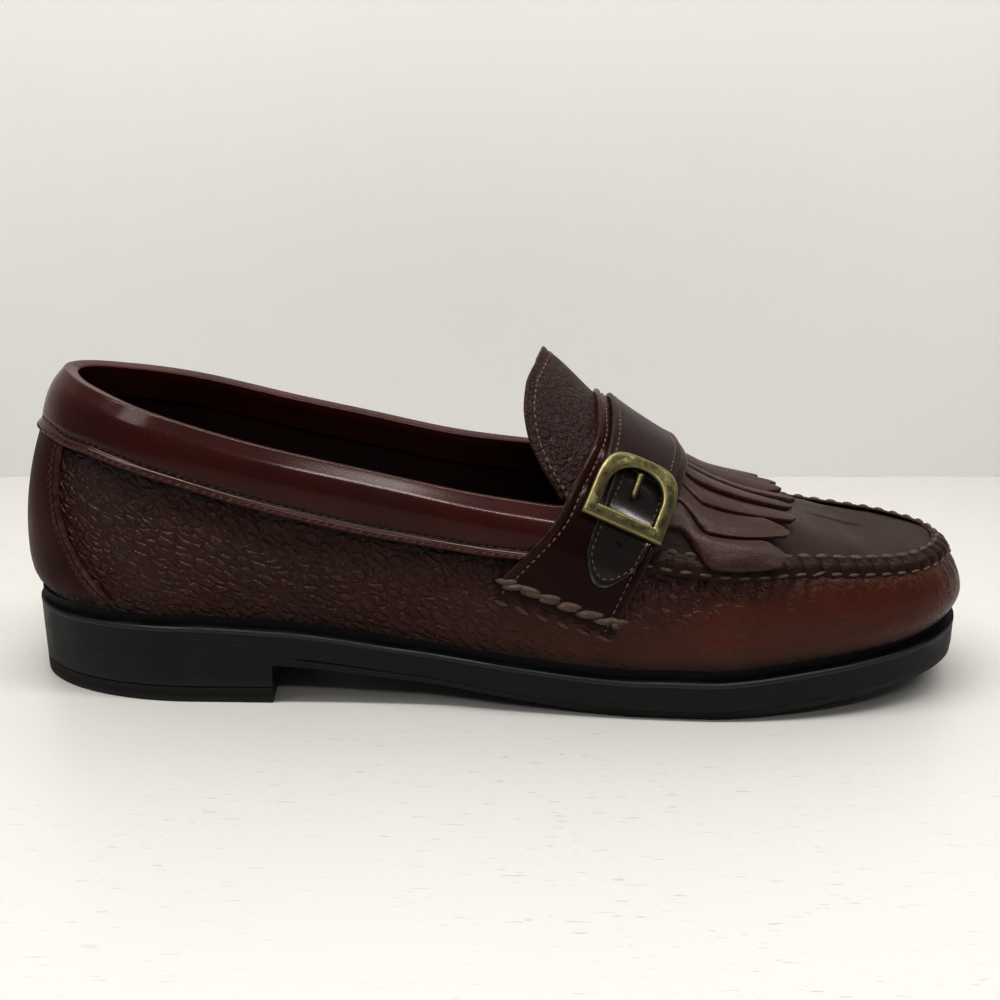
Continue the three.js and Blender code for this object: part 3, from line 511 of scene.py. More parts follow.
FOLD_DEPTH, FOLD_BOW = 1.6, 0.06


def creases(rows, s, turn):
    """Soft, slightly bowed troughs and ridges placed as listed. Lengths, widths and heights are millimetres."""
    up = height_at(s, turn)
    total = np.zeros_like(up)
    for at, high, where, length, width, height, slant in rows:
        x = (s - at) * LENGTH
        z = (up - high) * crown(s)
        angle = math.radians(slant)
        along = x * math.cos(angle) + z * math.sin(angle)
        across = z * math.cos(angle) - x * math.sin(angle) + FOLD_BOW * along**2 / length
        shape = np.exp(-(across / width) ** 2) * (1 - smooth(np.abs(along), 0.25 * length, 0.6 * length))
        total += FOLD_DEPTH * height * shape * np.where(np.sign(turn) * where < 0, 0, 1)
    return total


# Shader nodes

def node(tree, kind, inputs=None, **settings):
    """A node with its settings and inputs. An input is a value or another node's socket."""
    made = tree.nodes.new(kind)
    for key, value in settings.items():
        setattr(made, key, value)
    for key, value in (inputs or {}).items():
        socket = made.inputs[key]
        if isinstance(value, bpy.types.NodeSocket):
            tree.links.new(value, socket)
        else:
            socket.default_value = value
    return made


def place_on(tree):
    return node(tree, "ShaderNodeTexCoord").outputs["Object"]


def noise(tree, vector, scale, detail=2.0, roughness=0.5):
    values = {"Vector": vector, "Scale": scale, "Detail": detail, "Roughness": roughness}
    return node(tree, "ShaderNodeTexNoise", values).outputs


def maths(tree, operation, a, b, clamp=False):
    return node(tree, "ShaderNodeMath", {0: a, 1: b}, operation=operation, use_clamp=clamp).outputs[0]


def ranged(tree, value, curve="LINEAR", **ends):
    """A value mapped from one range to another. ends: from_min, from_max, to_min and to_max."""
    inputs = {key.replace("_", " ").title(): end for key, end in ends.items()}
    return node(tree, "ShaderNodeMapRange", {"Value": value, **inputs}, interpolation_type=curve).outputs[0]


def blend(tree, factor, a, b):
    """A mix of two colours, each a colour or a socket."""
    a, b = (value if isinstance(value, bpy.types.NodeSocket) else (*value[:3], 1) for value in (a, b))
    return node(tree, "ShaderNodeMix", {"Factor": factor, "A": a, "B": b}, data_type="RGBA").outputs[2]


def cells_between(tree, vector, size):
    """Distance to the borders of a texture of irregular cells."""
    values = {"Vector": vector, "Scale": size, "Randomness": 1.0}
    return node(tree, "ShaderNodeTexVoronoi", values, feature="DISTANCE_TO_EDGE").outputs["Distance"]


def group_tree(name, inputs, outputs):
    """A node group from its inputs' defaults and its outputs' kinds, as (tree, its inputs, its output node)."""
    tree = bpy.data.node_groups.new(name, "ShaderNodeTree")
    for key, default in inputs.items():
        kind = "NodeSocketColor" if isinstance(default, tuple) else "NodeSocketFloat"
        tree.interface.new_socket(key, in_out="INPUT", socket_type=kind).default_value = default
    for key, kind in outputs.items():
        tree.interface.new_socket(key, in_out="OUTPUT", socket_type=f"NodeSocket{kind}")
    return tree, tree.nodes.new("NodeGroupInput").outputs, tree.nodes.new("NodeGroupOutput")


def grain_group():
    """Leather grain: a coarse web of raised wrinkles, a pebble and fine pores."""
    tree, given, out = group_tree("Leather Grain",
                                  {"Web": 1.0, "Pebble": 0.5, "Web Size": 190.0, "Pebble Size": 650.0},
                                  {"Height": "Float", "Valley": "Float"})
    place = place_on(tree)
    warp = noise(tree, place, 90.0, 3.0, 0.55)["Color"]
    bend = {"Factor": 0.0032, "A": place, "B": warp}
    bent = node(tree, "ShaderNodeMix", bend, data_type="VECTOR").outputs[1]
    slanted = node(tree, "ShaderNodeMapping", {"Vector": bent, "Rotation": (0.0, -0.55, 0.0)}).outputs[0]
    flow = node(tree, "ShaderNodeMapping", {"Vector": slanted, "Scale": (0.62, 1.0, 1.15)}).outputs[0]
    lumps = ranged(tree, cells_between(tree, flow, given["Web Size"]), "SMOOTHSTEP", from_max=0.30)
    pebbles = ranged(tree, cells_between(tree, bent, given["Pebble Size"]), "SMOOTHSTEP", from_max=0.28)
    pores = maths(tree, "MULTIPLY", noise(tree, place, 2600.0)["Fac"], 0.12)
    raised = maths(tree, "ADD", maths(tree, "MULTIPLY", lumps, given["Web"]),
                   maths(tree, "MULTIPLY", pebbles, given["Pebble"]))
    whole = maths(tree, "ADD", given["Web"], given["Pebble"])
    tree.links.new(maths(tree, "ADD", raised, pores), out.inputs["Height"])
    tree.links.new(maths(tree, "SUBTRACT", whole, raised), out.inputs["Valley"])
    return tree


def dye_group():
    """Uneven dye, rubbed borders and a darker colour in the valleys of the leather."""
    tree, given, out = group_tree(
        "Worn Dye",
        {"Colour": (0.1, 0.03, 0.02, 1), "Deep": (0.02, 0.01, 0.01, 1), "Rubbed": (0.2, 0.1, 0.07, 1),
         "Edge": 0.0, "Valley": 0.0, "Mottle Size": 45.0, "Mottle": 0.5},
        {"Colour": "Color", "Cloud": "Float"})
    place = place_on(tree)
    clouds = noise(tree, place, given["Mottle Size"], 5.0, 0.6)["Fac"]
    cloud = ranged(tree, clouds, from_min=0.32, from_max=0.68)
    body = blend(tree, maths(tree, "MULTIPLY", cloud, given["Mottle"]), given["Colour"], given["Deep"])
    darker_valleys = blend(tree, maths(tree, "MULTIPLY", given["Valley"], 0.55, True), body, given["Deep"])
    rub = maths(tree, "MULTIPLY", noise(tree, place, 420.0, 4.0)["Fac"], given["Edge"])
    worn = blend(tree, ranged(tree, rub, from_min=0.25, from_max=0.75), darker_valleys, given["Rubbed"])
    tree.links.new(worn, out.inputs["Colour"])
    tree.links.new(cloud, out.inputs["Cloud"])
    return tree


def scuff_group():
    """Fine scratches and dust, as two masks."""
    tree, given, out = group_tree("Scuffs", {"Size": 60.0, "Amount": 0.5},
                                  {"Scratch": "Float", "Dust": "Float"})
    place = place_on(tree)
    turned = {"Vector": place, "Scale": (0.12, 1.0, 1.6), "Rotation": (0.1, 0.35, 0.2)}
    lines = noise(tree, node(tree, "ShaderNodeMapping", turned).outputs[0], 1400.0)["Fac"]
    thin = ranged(tree, lines, from_min=0.66, from_max=0.72)
    patch = ranged(tree, noise(tree, place, given["Size"], 4.0)["Fac"], from_min=0.45, from_max=0.7)
    scratch = maths(tree, "MULTIPLY", maths(tree, "MULTIPLY", thin, patch), given["Amount"], True)
    tree.links.new(scratch, out.inputs["Scratch"])
    tree.links.new(maths(tree, "MULTIPLY", patch, given["Amount"], True), out.inputs["Dust"])
    return tree


GROUPS = {}


def effect(tree, key, inputs):
    """One of the shared effects, placed in a material with its own values."""
    makers = {"grain": grain_group, "dye": dye_group, "scuffs": scuff_group}
    if key not in GROUPS:
        GROUPS[key] = makers[key]()
    return node(tree, "ShaderNodeGroup", inputs, node_tree=GROUPS[key])


# Materials

def new_material(name):
    material = bpy.data.materials.new(name)
    material.use_nodes = True
    return material, material.node_tree, material.node_tree.nodes["Principled BSDF"]


def set_shader(shader, **values):
    for key, value in values.items():
        shader.inputs[key.replace("_", " ")].default_value = value


def attribute(tree, name):
    return node(tree, "ShaderNodeAttribute", attribute_name=name).outputs["Fac"]


def dress(tree, shader, colour, roughness, height, strength, depth):
    """Links a colour, a roughness and a bump of a depth in millimetres to a shader."""
    bump = node(tree, "ShaderNodeBump", {"Height": height, "Strength": strength, "Distance": depth * MM})
    tree.links.new(colour, shader.inputs["Base Color"])
    if roughness:
        tree.links.new(roughness, shader.inputs["Roughness"])
    tree.links.new(bump.outputs[0], shader.inputs["Normal"])


# How much of the grain stays where the tone mask is 1, and how dark the shade mask makes the deep colour
SMOOTH_GRAIN, SHADE_DEPTH = 0.10, 0.45


def leather(name, colour, deep, rubbed, rough=0.42, web=0.0, pebble=0.4, depth=0.12, web_size=190.0,
            pebble_size=650.0, coat=0.15, coat_rough=0.25, mottle=0.5, mottle_size=45.0, tone=None,
            gloss=0.18):
    """Dyed leather. tone: a second colour and its deep shade, for where the tone mask is 1.

    The grain's sizes are counts to the metre, and depth is millimetres. Where the tone mask is 1, a
    strong web fades to a tenth.
    """
    material, tree, shader = new_material(name)
    sizes_in = {"Web": web, "Pebble": pebble, "Web Size": web_size, "Pebble Size": pebble_size}
    grain = effect(tree, "grain", sizes_in)
    if tone and web > 0.5:
        for key in ("Web", "Pebble"):
            rest = sizes_in[key]
            smoother = ranged(tree, attribute(tree, "tone"), to_min=rest, to_max=rest * SMOOTH_GRAIN)
            tree.links.new(smoother, grain.inputs[key])
    wear = {"Rubbed": (*rubbed, 1), "Edge": attribute(tree, "edge"), "Valley": grain.outputs["Valley"],
            "Mottle Size": mottle_size, "Mottle": mottle}
    dye = effect(tree, "dye", {"Colour": (*colour, 1), "Deep": (*deep, 1), **wear})
    shown = dye.outputs["Colour"]
    if tone:
        second = effect(tree, "dye", {"Colour": (*tone[0], 1), "Deep": (*tone[1], 1), **wear})
        shown = blend(tree, attribute(tree, "tone"), shown, second.outputs["Colour"])
    shown = blend(tree, attribute(tree, "shade"), shown, [c * SHADE_DEPTH for c in deep])
    rougher = ranged(tree, dye.outputs["Cloud"], to_min=rough - 0.07, to_max=rough + 0.1)
    dress(tree, shader, shown, rougher, grain.outputs["Height"], 1.0, depth)
    set_shader(shader, Coat_Weight=coat, Coat_Roughness=coat_rough, Specular_IOR_Level=gloss)
    return material


def thread(name, colour, dark):
    """Waxed thread with a fine twist."""
    material, tree, shader = new_material(name)
    twist = noise(tree, place_on(tree), 1900.0, 3.0)["Fac"]
    ramp = node(tree, "ShaderNodeValToRGB", {"Fac": twist})
    for element, position, shown in zip(ramp.color_ramp.elements, (0.35, 0.65), (dark, colour)):
        element.position, element.color = position, (*shown, 1)
    dress(tree, shader, ramp.outputs[0], None, twist, 0.8, 0.15)
    set_shader(shader, Roughness=0.62)
    return material


def rubber(name, colour, dusty, rough=0.5, dust=0.35):
    """Moulded rubber, dusty and lightly scratched."""
    material, tree, shader = new_material(name)
    scuffs = effect(tree, "scuffs", {"Size": 70.0, "Amount": 0.8}).outputs
    grain = effect(tree, "grain", {"Web": 0.0, "Pebble": 0.5, "Pebble Size": 1500.0}).outputs
    body = blend(tree, maths(tree, "MULTIPLY", scuffs["Dust"], dust), colour, dusty)
    worn = blend(tree, scuffs["Scratch"], body, [c * 1.6 for c in dusty])
    # The edge mask paints lighter rubber: wear on the heel's edges, and a painted highlight along the sole's
    # ridge
    shown = blend(tree, attribute(tree, "edge"), worn, [c * 2.2 for c in dusty])
    rougher = ranged(tree, scuffs["Dust"], to_min=rough, to_max=rough + 0.25)
    dress(tree, shader, shown, rougher, grain["Height"], 0.5, 0.04)
    return material


def brass(name):
    """Antique brass: dark in patches of patina, rubbed along its edges, pitted and finely scratched."""
    material, tree, shader = new_material(name)
    scuffs = effect(tree, "scuffs", {"Size": 160.0, "Amount": 1.0}).outputs
    patina = noise(tree, place_on(tree), 330.0, 6.0, 0.65)["Fac"]
    stain = ranged(tree, patina, from_min=0.36, from_max=0.64)
    body = blend(tree, stain, (0.135, 0.118, 0.060), (0.045, 0.042, 0.026))
    shown = blend(tree, attribute(tree, "edge"), body, (0.34, 0.30, 0.17))
    rougher = ranged(tree, stain, to_min=0.3, to_max=0.52)
    dress(tree, shader, shown, rougher, maths(tree, "SUBTRACT", patina, scuffs["Scratch"]), 1.0, 0.14)
    set_shader(shader, Metallic=0.95)
    return material


def felt(name, colour, deep):
    """Smooth sock lining with a soft nap."""
    material, tree, shader = new_material(name)
    dye = effect(tree, "dye", {"Colour": (*colour, 1), "Deep": (*deep, 1), "Rubbed": (*colour, 1),
                               "Mottle Size": 260.0, "Mottle": 0.9})
    grain = effect(tree, "grain", {"Web": 0.3, "Pebble": 0.5, "Web Size": 500.0, "Pebble Size": 1800.0})
    dress(tree, shader, dye.outputs["Colour"], None, grain.outputs["Height"], 0.8, 0.1)
    set_shader(shader, Roughness=0.65)
    return material


def ground(name, colour, dark, rough, scratches):
    """The painted table or wall of the stage."""
    material, tree, shader = new_material(name)
    scuffs = effect(tree, "scuffs", {"Size": 4.0, "Amount": scratches})
    broad = noise(tree, place_on(tree), 3.0, 4.0)["Fac"]
    body = blend(tree, broad, colour, [c * 0.95 for c in colour])
    tree.links.new(blend(tree, scuffs.outputs["Scratch"], body, dark), shader.inputs["Base Color"])
    set_shader(shader, Roughness=rough)
    return material


# Settings

def colour_setting(name, description, default):
    return bpy.props.FloatVectorProperty(name=name, description=description, default=default, size=3,
                                         min=0.0, max=1.0, subtype="COLOR")


def length_setting(name, description, default):
    return bpy.props.FloatProperty(name=name, description=description, default=default, min=0.0,
                                   unit="LENGTH")


class LOAFER_PG_sizes(bpy.types.PropertyGroup):
    """Sizes of the stitching and the stage."""
    seam_pitch: length_setting("Seam pitch", "Distance between the hand stitches of the toe seam", 0.0056)
    row_pitch: length_setting("Row pitch", "Distance between the machine stitches", 0.0022)
    wall_distance: length_setting("Wall distance", "How far the wall stands behind the shoe", 0.257)


class LOAFER_PG_colours(bpy.types.PropertyGroup):
    """Colours of the leathers, the thread and the rubber."""
    quarter: colour_setting("Quarter", "Pebbled leather behind the saddle", (0.078, 0.023, 0.016))
    wall: colour_setting("Toe wall", "Leather round the toe", (0.118, 0.030, 0.013))
    plug: colour_setting("Plug", "Leather inside the toe seam", (0.054, 0.026, 0.018))
    burgundy: colour_setting("Burgundy", "Collar, back stay and saddle", (0.085, 0.011, 0.006))
    strap: colour_setting("Strap", "Strap over the instep", (0.036, 0.017, 0.013))
    kiltie: colour_setting("Kiltie", "Fringe and tongue", (0.074, 0.031, 0.025))
    billet: colour_setting("Billet", "Strap end under the buckle", (0.026, 0.019, 0.018))
    hand_thread: colour_setting("Hand thread", "Thick thread of the seams", (0.17, 0.112, 0.086))
    rubber: colour_setting("Rubber", "Sole and heel", (0.006, 0.0055, 0.0055))


def seam_pitch():
    return bpy.context.scene.loafer_sizes.seam_pitch / MM


def row_pitch():
    return bpy.context.scene.loafer_sizes.row_pitch / MM


def colours():
    return bpy.context.scene.loafer_colours


def scaled(colour, share):
    """A colour made darker or lighter by a share."""
    return tuple(c * share for c in colour)


def shades(colour, deep=0.35, rubbed=2.0):
    """A colour with its deep and rubbed shades."""
    return tuple(colour), scaled(colour, deep), tuple(min(1.0, c * rubbed + 0.02) for c in colour)


MADE = {}


def shared(key, maker):
    """A material that several operators use, made once."""
    if key not in MADE:
        MADE[key] = maker()
    return MADE[key]


# Colour and deep shade of the folded borders, lighter and browner than the burgundy: a painted highlight on
# their rounded folds
FOLD_HIGHLIGHT_TONE = ((0.055, 0.022, 0.016), (0.02, 0.008, 0.006))


def burgundy(name, strength, **values):
    """Burgundy leather. strength: how light its colour is beside the collar's."""
    colour, deep, _ = shades(scaled(colours().burgundy, strength), 0.3)
    return leather(name, colour, deep, (0.14, 0.075, 0.06), pebble=0.4, pebble_size=1300.0, mottle=0.6,
                   tone=FOLD_HIGHLIGHT_TONE, **values)


def tongue_leather():
    return leather("Pebbled Tongue Leather", *shades(scaled(colours().kiltie, 0.8), 0.4), rough=0.42,
                   web=0.8, pebble=0.45, depth=0.42, web_size=430.0, pebble_size=900.0, coat=0.05,
                   coat_rough=0.3, gloss=0.36)


def kiltie_leather():
    return shared("kiltie", lambda: leather(
        "Kiltie Leather", *shades(colours().kiltie, 0.4, 2.2), rough=0.40, web=0.2, pebble=0.3, depth=0.16,
        web_size=300.0, pebble_size=1200.0, coat=0.1, coat_rough=0.3, gloss=0.45))


def pale_thread():
    hue = colours().hand_thread
    return shared("hand_thread", lambda: thread("Hand Thread", tuple(hue), scaled(hue, 0.45)))


def fine_thread():
    return shared("fine_thread", lambda: thread("Fine Thread", (0.30, 0.19, 0.14), (0.10, 0.055, 0.04)))


def ink_thread():
    return shared("dark_thread", lambda: thread("Dark Thread", (0.16, 0.075, 0.06), (0.04, 0.018, 0.014)))


# Pieces

LAMPS = (
    ("Ceiling Strip", (0.05, -0.17, 1.05), (1.9, 0.10), 12.0, (1.0, 0.99, 0.97)),
    ("Ceiling Panel", (-0.1, 0.0, 1.3), (1.0, 0.8), 4.0, (1.0, 0.99, 0.97)),
    ("Front Strip", (0.12, -0.72, 0.66), (0.50, 0.05), 2.4, (1.0, 0.99, 0.97)),
    ("Window Light", (-0.6, -0.5, 0.9), (0.3, 0.3), 1.5, (1.0, 0.985, 0.96)),
    ("Front Fill", (0.35, -1.15, 0.55), (1.1, 1.1), 0.2, (1.0, 0.98, 0.95)),
)
VIEW_TURN, VIEW_TILT = math.radians(1.53), math.radians(75.13)


class LOAFER_OT_stage(bpy.types.Operator):
    """Camera, lights, table and wall"""
    bl_idname = "loafer.stage"
    bl_label = "Stage"

    def execute(self, context):
        scene = context.scene
        scene.view_settings.view_transform = "Standard"
        scene.view_settings.gamma = 0.68
        data = bpy.data.cameras.new("Camera")
        data.lens = 39.03
        data.sensor_width = 36.0
        data.shift_x = 0.0026
        camera = bpy.data.objects.new("Camera", data)
        camera.location = (0.01114, -0.34383, 0.1460)
        camera.rotation_euler = (VIEW_TILT, 0.0, VIEW_TURN)
        scene.collection.objects.link(camera)
        scene.camera = camera
        wide, near, high = 1.5, -1.2, 1.6
        longest_aimed_size = 1.2
        far = scene.loafer_sizes.wall_distance
        table_paint = ground("Table Paint", (0.64, 0.63, 0.61), (0.36, 0.35, 0.33), 0.42, 0.6)
        wall_paint = ground("Wall Paint", (0.80, 0.79, 0.78), (0.55, 0.55, 0.54), 0.8, 0.1)
        turn = Matrix.Rotation(VIEW_TURN, 4, "Z")
        for name, (y0, z0), (y1, z1), paint in (
            ("table_top", (near, 0), (far, 0), table_paint),
            ("wall_behind", (far, -0.02), (far, high), wall_paint),
        ):
            corners = [(-wide, y0, z0), (wide, y0, z0), (wide, y1, z1), (-wide, y1, z1)]
            mesh = bpy.data.meshes.new(name)
            mesh.from_pydata([turn @ Vector(c) for c in corners], [], [(0, 1, 2, 3)])
            mesh.materials.append(paint)
            obj = bpy.data.objects.new(name, mesh)
            scene.collection.objects.link(obj)
        for name, place, size, power, tint in LAMPS:
            lamp = bpy.data.lights.new(name, "AREA")
            lamp.shape = "RECTANGLE"
            lamp.size, lamp.size_y = size
            lamp.energy, lamp.color = power, tint
            holder = bpy.data.objects.new(name, lamp)
            holder.location = place
            # A lamp longer than this hangs level along the shoe, and the others point at its middle
            aim = Vector((place[0] if size[0] > longest_aimed_size else 0.0, 0.0, 0.03)) - Vector(place)
            holder.rotation_euler = aim.to_track_quat("-Z", "Y").to_euler()
            scene.collection.objects.link(holder)
        world = bpy.data.worlds.new("Studio")
        world.use_nodes = True
        sky = world.node_tree.nodes["Background"].inputs
        sky["Color"].default_value = (0.86, 0.87, 0.88, 1)
        sky["Strength"].default_value = 0.26
        scene.world = world
        return {"FINISHED"}


def sole_stations(heel=26, middle=70, toe=44):
    """Shares of length for the rings of a sole layer."""
    second = lerp(HEEL_SHARE, TOE_START, np.arange(middle) / middle)
    return np.concatenate([heel_share(np.arange(heel) / heel), second, toe_share(np.arange(toe + 1) / toe)])


def layer_loft(name, profile_at, ends, material, nodes, edge=None):
    """A sole layer as rings of its lateral and medial profile. edge: the profile's painted highlight."""
    stations = sole_stations()
    x = lerp(ends[0], LENGTH - ends[1], stations)
    rings = []
    for s, along in zip(stations, x):
        out, z = profile_at(along / LENGTH)
        sides = []
        for side in (-1, 1):
            half = np.maximum(0, half_width(s, side) - EDGE_TUCK + out) * cap(s)
            sides.append(np.stack([np.full(len(out), along), centre(s) + side * half, z], axis=1))
        rings.append(np.concatenate([sides[0], sides[1][::-1]]))
    masks = {} if edge is None else {"edge": np.tile(np.concatenate([edge, edge[::-1]]), len(rings))}
    faces = ring_faces(len(rings), len(rings[0]))
    return add_object(name, np.concatenate(rings), faces, material, nodes, masks, sharp=28)


BREAST_RADIUS = (BALL_WIDTH / 2) ** 2 / (2 * BREAST_HOLLOW)


def breast_line(y):
    """The hollow front of the heel, as x for each y."""
    return HEEL_LENGTH - BREAST_HOLLOW + BREAST_RADIUS - np.sqrt(BREAST_RADIUS**2 - y**2)


def heel_outline(out, count=46):
    """Outline of the heel seen from above: round its back and across its hollow breast."""
    line = []
    shares = round_heel(np.linspace(0, 1, count), BREAST + 0.004)
    x = lerp(HEEL_SET + 2 * GAP, LENGTH - SOLE_INSET / 2, shares)
    for side in (-1, 1):
        y = side * (half_width(shares, side) - EDGE_TUCK + out) * cap(shares)
        one = np.stack([np.minimum(x, breast_line(y)), y], axis=1)
        line.append(one[::-1] if side < 0 else one[1:])
    path = np.concatenate(line)
    y = np.linspace(path[-1, 1], path[0, 1], 14)[1:-1]
    return np.concatenate([path, np.stack([breast_line(y), y], axis=1)])


SOLE_OVER = EDGE_TUCK - SOLE_INSET / 2


def heel_slice(name, profile, material, nodes):
    """A layer of the heel, lofted upwards through rows of height, inset and rubbed edge."""
    rings = []
    for z, inset, _ in profile:
        ring = heel_outline(SOLE_OVER - HEEL_TAPER * (1 - z / HEEL_HEIGHT) - inset)
        if inset > 0:
            ring[:, 0] -= np.where(ring[:, 0] > HEEL_LENGTH - 2 * BREAST_HOLLOW, inset, 0)
        rings.append(np.column_stack([ring, np.full(len(ring), z)]))
    count = len(rings[0])
    faces = [tuple(f) for f in ring_faces(len(rings), count)]
    faces += [tuple(range(count)), tuple(range((len(rings) - 1) * count, len(rings) * count))]
    edge = np.repeat([wear for _, _, wear in profile], count)
    return add_object(name, np.concatenate(rings), faces, material, nodes, {"edge": edge}, sharp=28)


class LOAFER_OT_sole(bpy.types.Operator):
    """Sole unit, heel, top lift and the ledge under the upper"""
    bl_idname = "loafer.sole"
    bl_label = "Sole"

    def execute(self, context):
        tint = tuple(colours().rubber)
        black = rubber("Sole Rubber", tint, (0.05, 0.046, 0.043), rough=0.42)
        lift = rubber("Lift Rubber", scaled(tint, 0.8), (0.045, 0.042, 0.04), rough=0.6)
        # The ledge's rubber is darker and less dusty than the sole's: painted shade in the gap between the
        # upper and the sole
        ledge = rubber("Shaded Ledge Rubber", scaled(tint, 0.6), (0.03, 0.028, 0.027), rough=0.6, dust=0.2)

        def wall(s):
            tread = smooth(s, BREAST - 0.01, BREAST + 0.03)
            inset = TREAD_INSET * smooth(s, BREAST, BREAST + HEEL_SHARE)
            proud = np.where(SIDE_WALL["proud"] < 0, tread, 1) * SIDE_WALL["proud"]
            return (SOLE_OVER - SIDE_WALL["inset"] * inset + proud * RIDGE_PROUD,
                    lerp(rise(s), sole_top(s), SIDE_WALL["up"]))

        def ledge_wall(s):
            top = sole_top(s)
            return np.full(3, -LEDGE_INSET), np.array([top - 0.4, top + 1.5, feather(s) - 0.1])

        # The sole's proud ridge is painted lighter through its edge mask: a painted highlight line
        ridge = np.clip((SIDE_WALL["proud"] - 0.8) * 1.6, 0, 1)
        layer_loft("sole_unit", wall, (HEEL_SET + 2 * GAP, SOLE_INSET / 2), black,
                   ["outsole"], ridge)
        layer_loft("ledge", ledge_wall, (HEEL_SET + LEDGE_INSET, LEDGE_INSET + EDGE_TUCK), ledge,
                   ["midsole"])
        block = [(LIFT_THICKNESS + 0.15, 0.35, 0.0), (LIFT_THICKNESS + 0.45, 0.0, 0.1), (9.5, -0.05, 0.0),
                 (HEEL_HEIGHT, 0.0, 0.0), (HEEL_HEIGHT + TREAD_INSET, 0.0, 0.0)]
        heel_slice("heel_block", block, black, ["outsole"])
        foot = [(0.0, 0.5, 0.1), (0.4, 0.1, 0.3), (2.5, 0.0, 0.0), (LIFT_THICKNESS - 0.3, 0.0, 0.1),
                (LIFT_THICKNESS, 0.3, 0.0)]
        heel_slice("top_lift", foot, lift, ["heel_lift"])
        return {"FINISHED"}


class LOAFER_OT_inside(bpy.types.Operator):
    """Sock lining and the lining of the upper"""
    bl_idname = "loafer.inside"
    bl_label = "Inside"

    def execute(self, context):
        inset = WALL + 3 * GAP
        sock = felt("Green Sock", (0.012, 0.035, 0.024), (0.006, 0.018, 0.013))
        lining = leather("Lining Leather", (0.045, 0.015, 0.013), (0.02, 0.008, 0.007), (0.03, 0.015, 0.013),
                         rough=0.5, pebble=0.3, depth=0.06, pebble_size=1200.0, coat=0.05)

        def sock_edge(s):
            return (np.array([-inset, -inset, -inset - 1.2]),
                    feather(s) + np.array([0.0, INSOLE_THICKNESS - 0.7, INSOLE_THICKNESS]))

        ends = (HEEL_SET + inset + EDGE_TUCK, inset + EDGE_TUCK + TOE_ROLL / 3)
        layer_loft("sock", sock_edge, ends, sock, ["insole"])
        thick, under = 0.3, -WALL - 0.35

        def heel_half(u, v):
            p = 2 * u - 1
            side = side_of(p)
            s = round_heel(np.abs(p), 0.60)
            return s, side * turn_at(s, rim_share(s, side, 1.5, -WALL) * v), under

        def toe_half(u, v):
            return lerp(0.585, 0.998, v), 2 * u - 1, under

        leather_piece("quarter_lining", heel_half, knots(400, 2.5), knots(60, 2.5), thick, lining,
                      borders="v1")
        leather_piece("vamp_lining", toe_half, knots(150, 2.5), knots(125, 2.5), thick, lining,
                      borders="v0")
        return {"FINISHED"}


# Rows of folds: share of length, share of height, side or 0 for both, length, width, height, slant
QUARTER_FOLDS = [
    (0.17, 0.60, -1, 30, 2.2, -0.35, 20), (0.24, 0.36, -1, 34, 2.6, -0.35, -12),
    (0.33, 0.30, -1, 38, 2.4, -0.4, 8), (0.40, 0.46, -1, 30, 2.0, -0.35, -20),
    (0.46, 0.34, -1, 34, 2.2, -0.35, 12), (0.30, 0.52, -1, 26, 2.0, 0.3, 10),
    (0.20, 0.26, 1, 34, 2.4, -0.35, 15), (0.31, 0.44, 1, 32, 2.2, -0.35, -14),
    (0.42, 0.36, 1, 36, 2.4, -0.4, 10), (0.50, 0.22, 0, 30, 2.4, -0.3, 5),
    (0.14, 0.30, 0, 26, 2.2, -0.3, 40),
]
WALL_FOLDS = [
    (0.690, 0.34, 0, 13, 1.6, -0.40, 62), (0.712, 0.42, 0, 14, 1.4, -0.40, 75),
    (0.735, 0.40, 0, 15, 1.4, -0.42, 82), (0.760, 0.45, 0, 13, 1.4, -0.38, 95),
    (0.785, 0.50, 0, 12, 1.4, -0.32, 88), (0.725, 0.22, 0, 26, 2.0, -0.30, 8),
    (0.790, 0.24, 0, 30, 2.2, -0.22, -6), (0.860, 0.30, 0, 24, 2.4, -0.14, 10),
    (0.676, 0.20, 0, 20, 1.8, -0.3, -30), (0.748, 0.36, 0, 12, 1.2, 0.28, 80),
    (0.700, 0.24, 0, 12, 1.4, 0.30, 60),
]
PLUG_FOLDS = [
    (0.815, 0.90, -1, 34, 2.6, -0.42, 14), (0.845, 0.93, 1, 34, 2.6, -0.40, -12),
    (0.835, 0.98, 0, 26, 3.0, 0.30, 2), (0.870, 0.95, -1, 26, 2.4, -0.28, 22),
    (0.790, 0.92, 1, 24, 2.4, -0.32, 18), (0.900, 0.97, 0, 22, 2.6, -0.2, -16),
]


def seam_line(count=520):
    """The toe seam from the lateral side round to the medial side: points, outward normals and tangents."""
    t = np.linspace(-1, 1, count)
    s = lerp(1.0, SEAM_START, 1 - np.cos(np.abs(t) * np.pi / 2))
    turn = side_of(t) * turn_at(s, seam_up(s))
    points = last_point(s, turn, -SEAM_HEIGHT * (1 - smooth(s, SEAM_START, SEAM_START + 0.018)))
    out = last_point(s, turn, 1) - points
    tangent = unit(np.gradient(points, axis=0))
    out = unit(out - tangent * np.sum(out * tangent, axis=1, keepdims=True))
    return points, out, tangent


def seam_run(s):
    """Distance along the toe seam from its start to a share of length."""
    shares = np.linspace(SEAM["at"][0], 1, 300)
    return np.interp(s, shares, run_along(last_point(shares, turn_at(shares, seam_up(shares)), 0)))


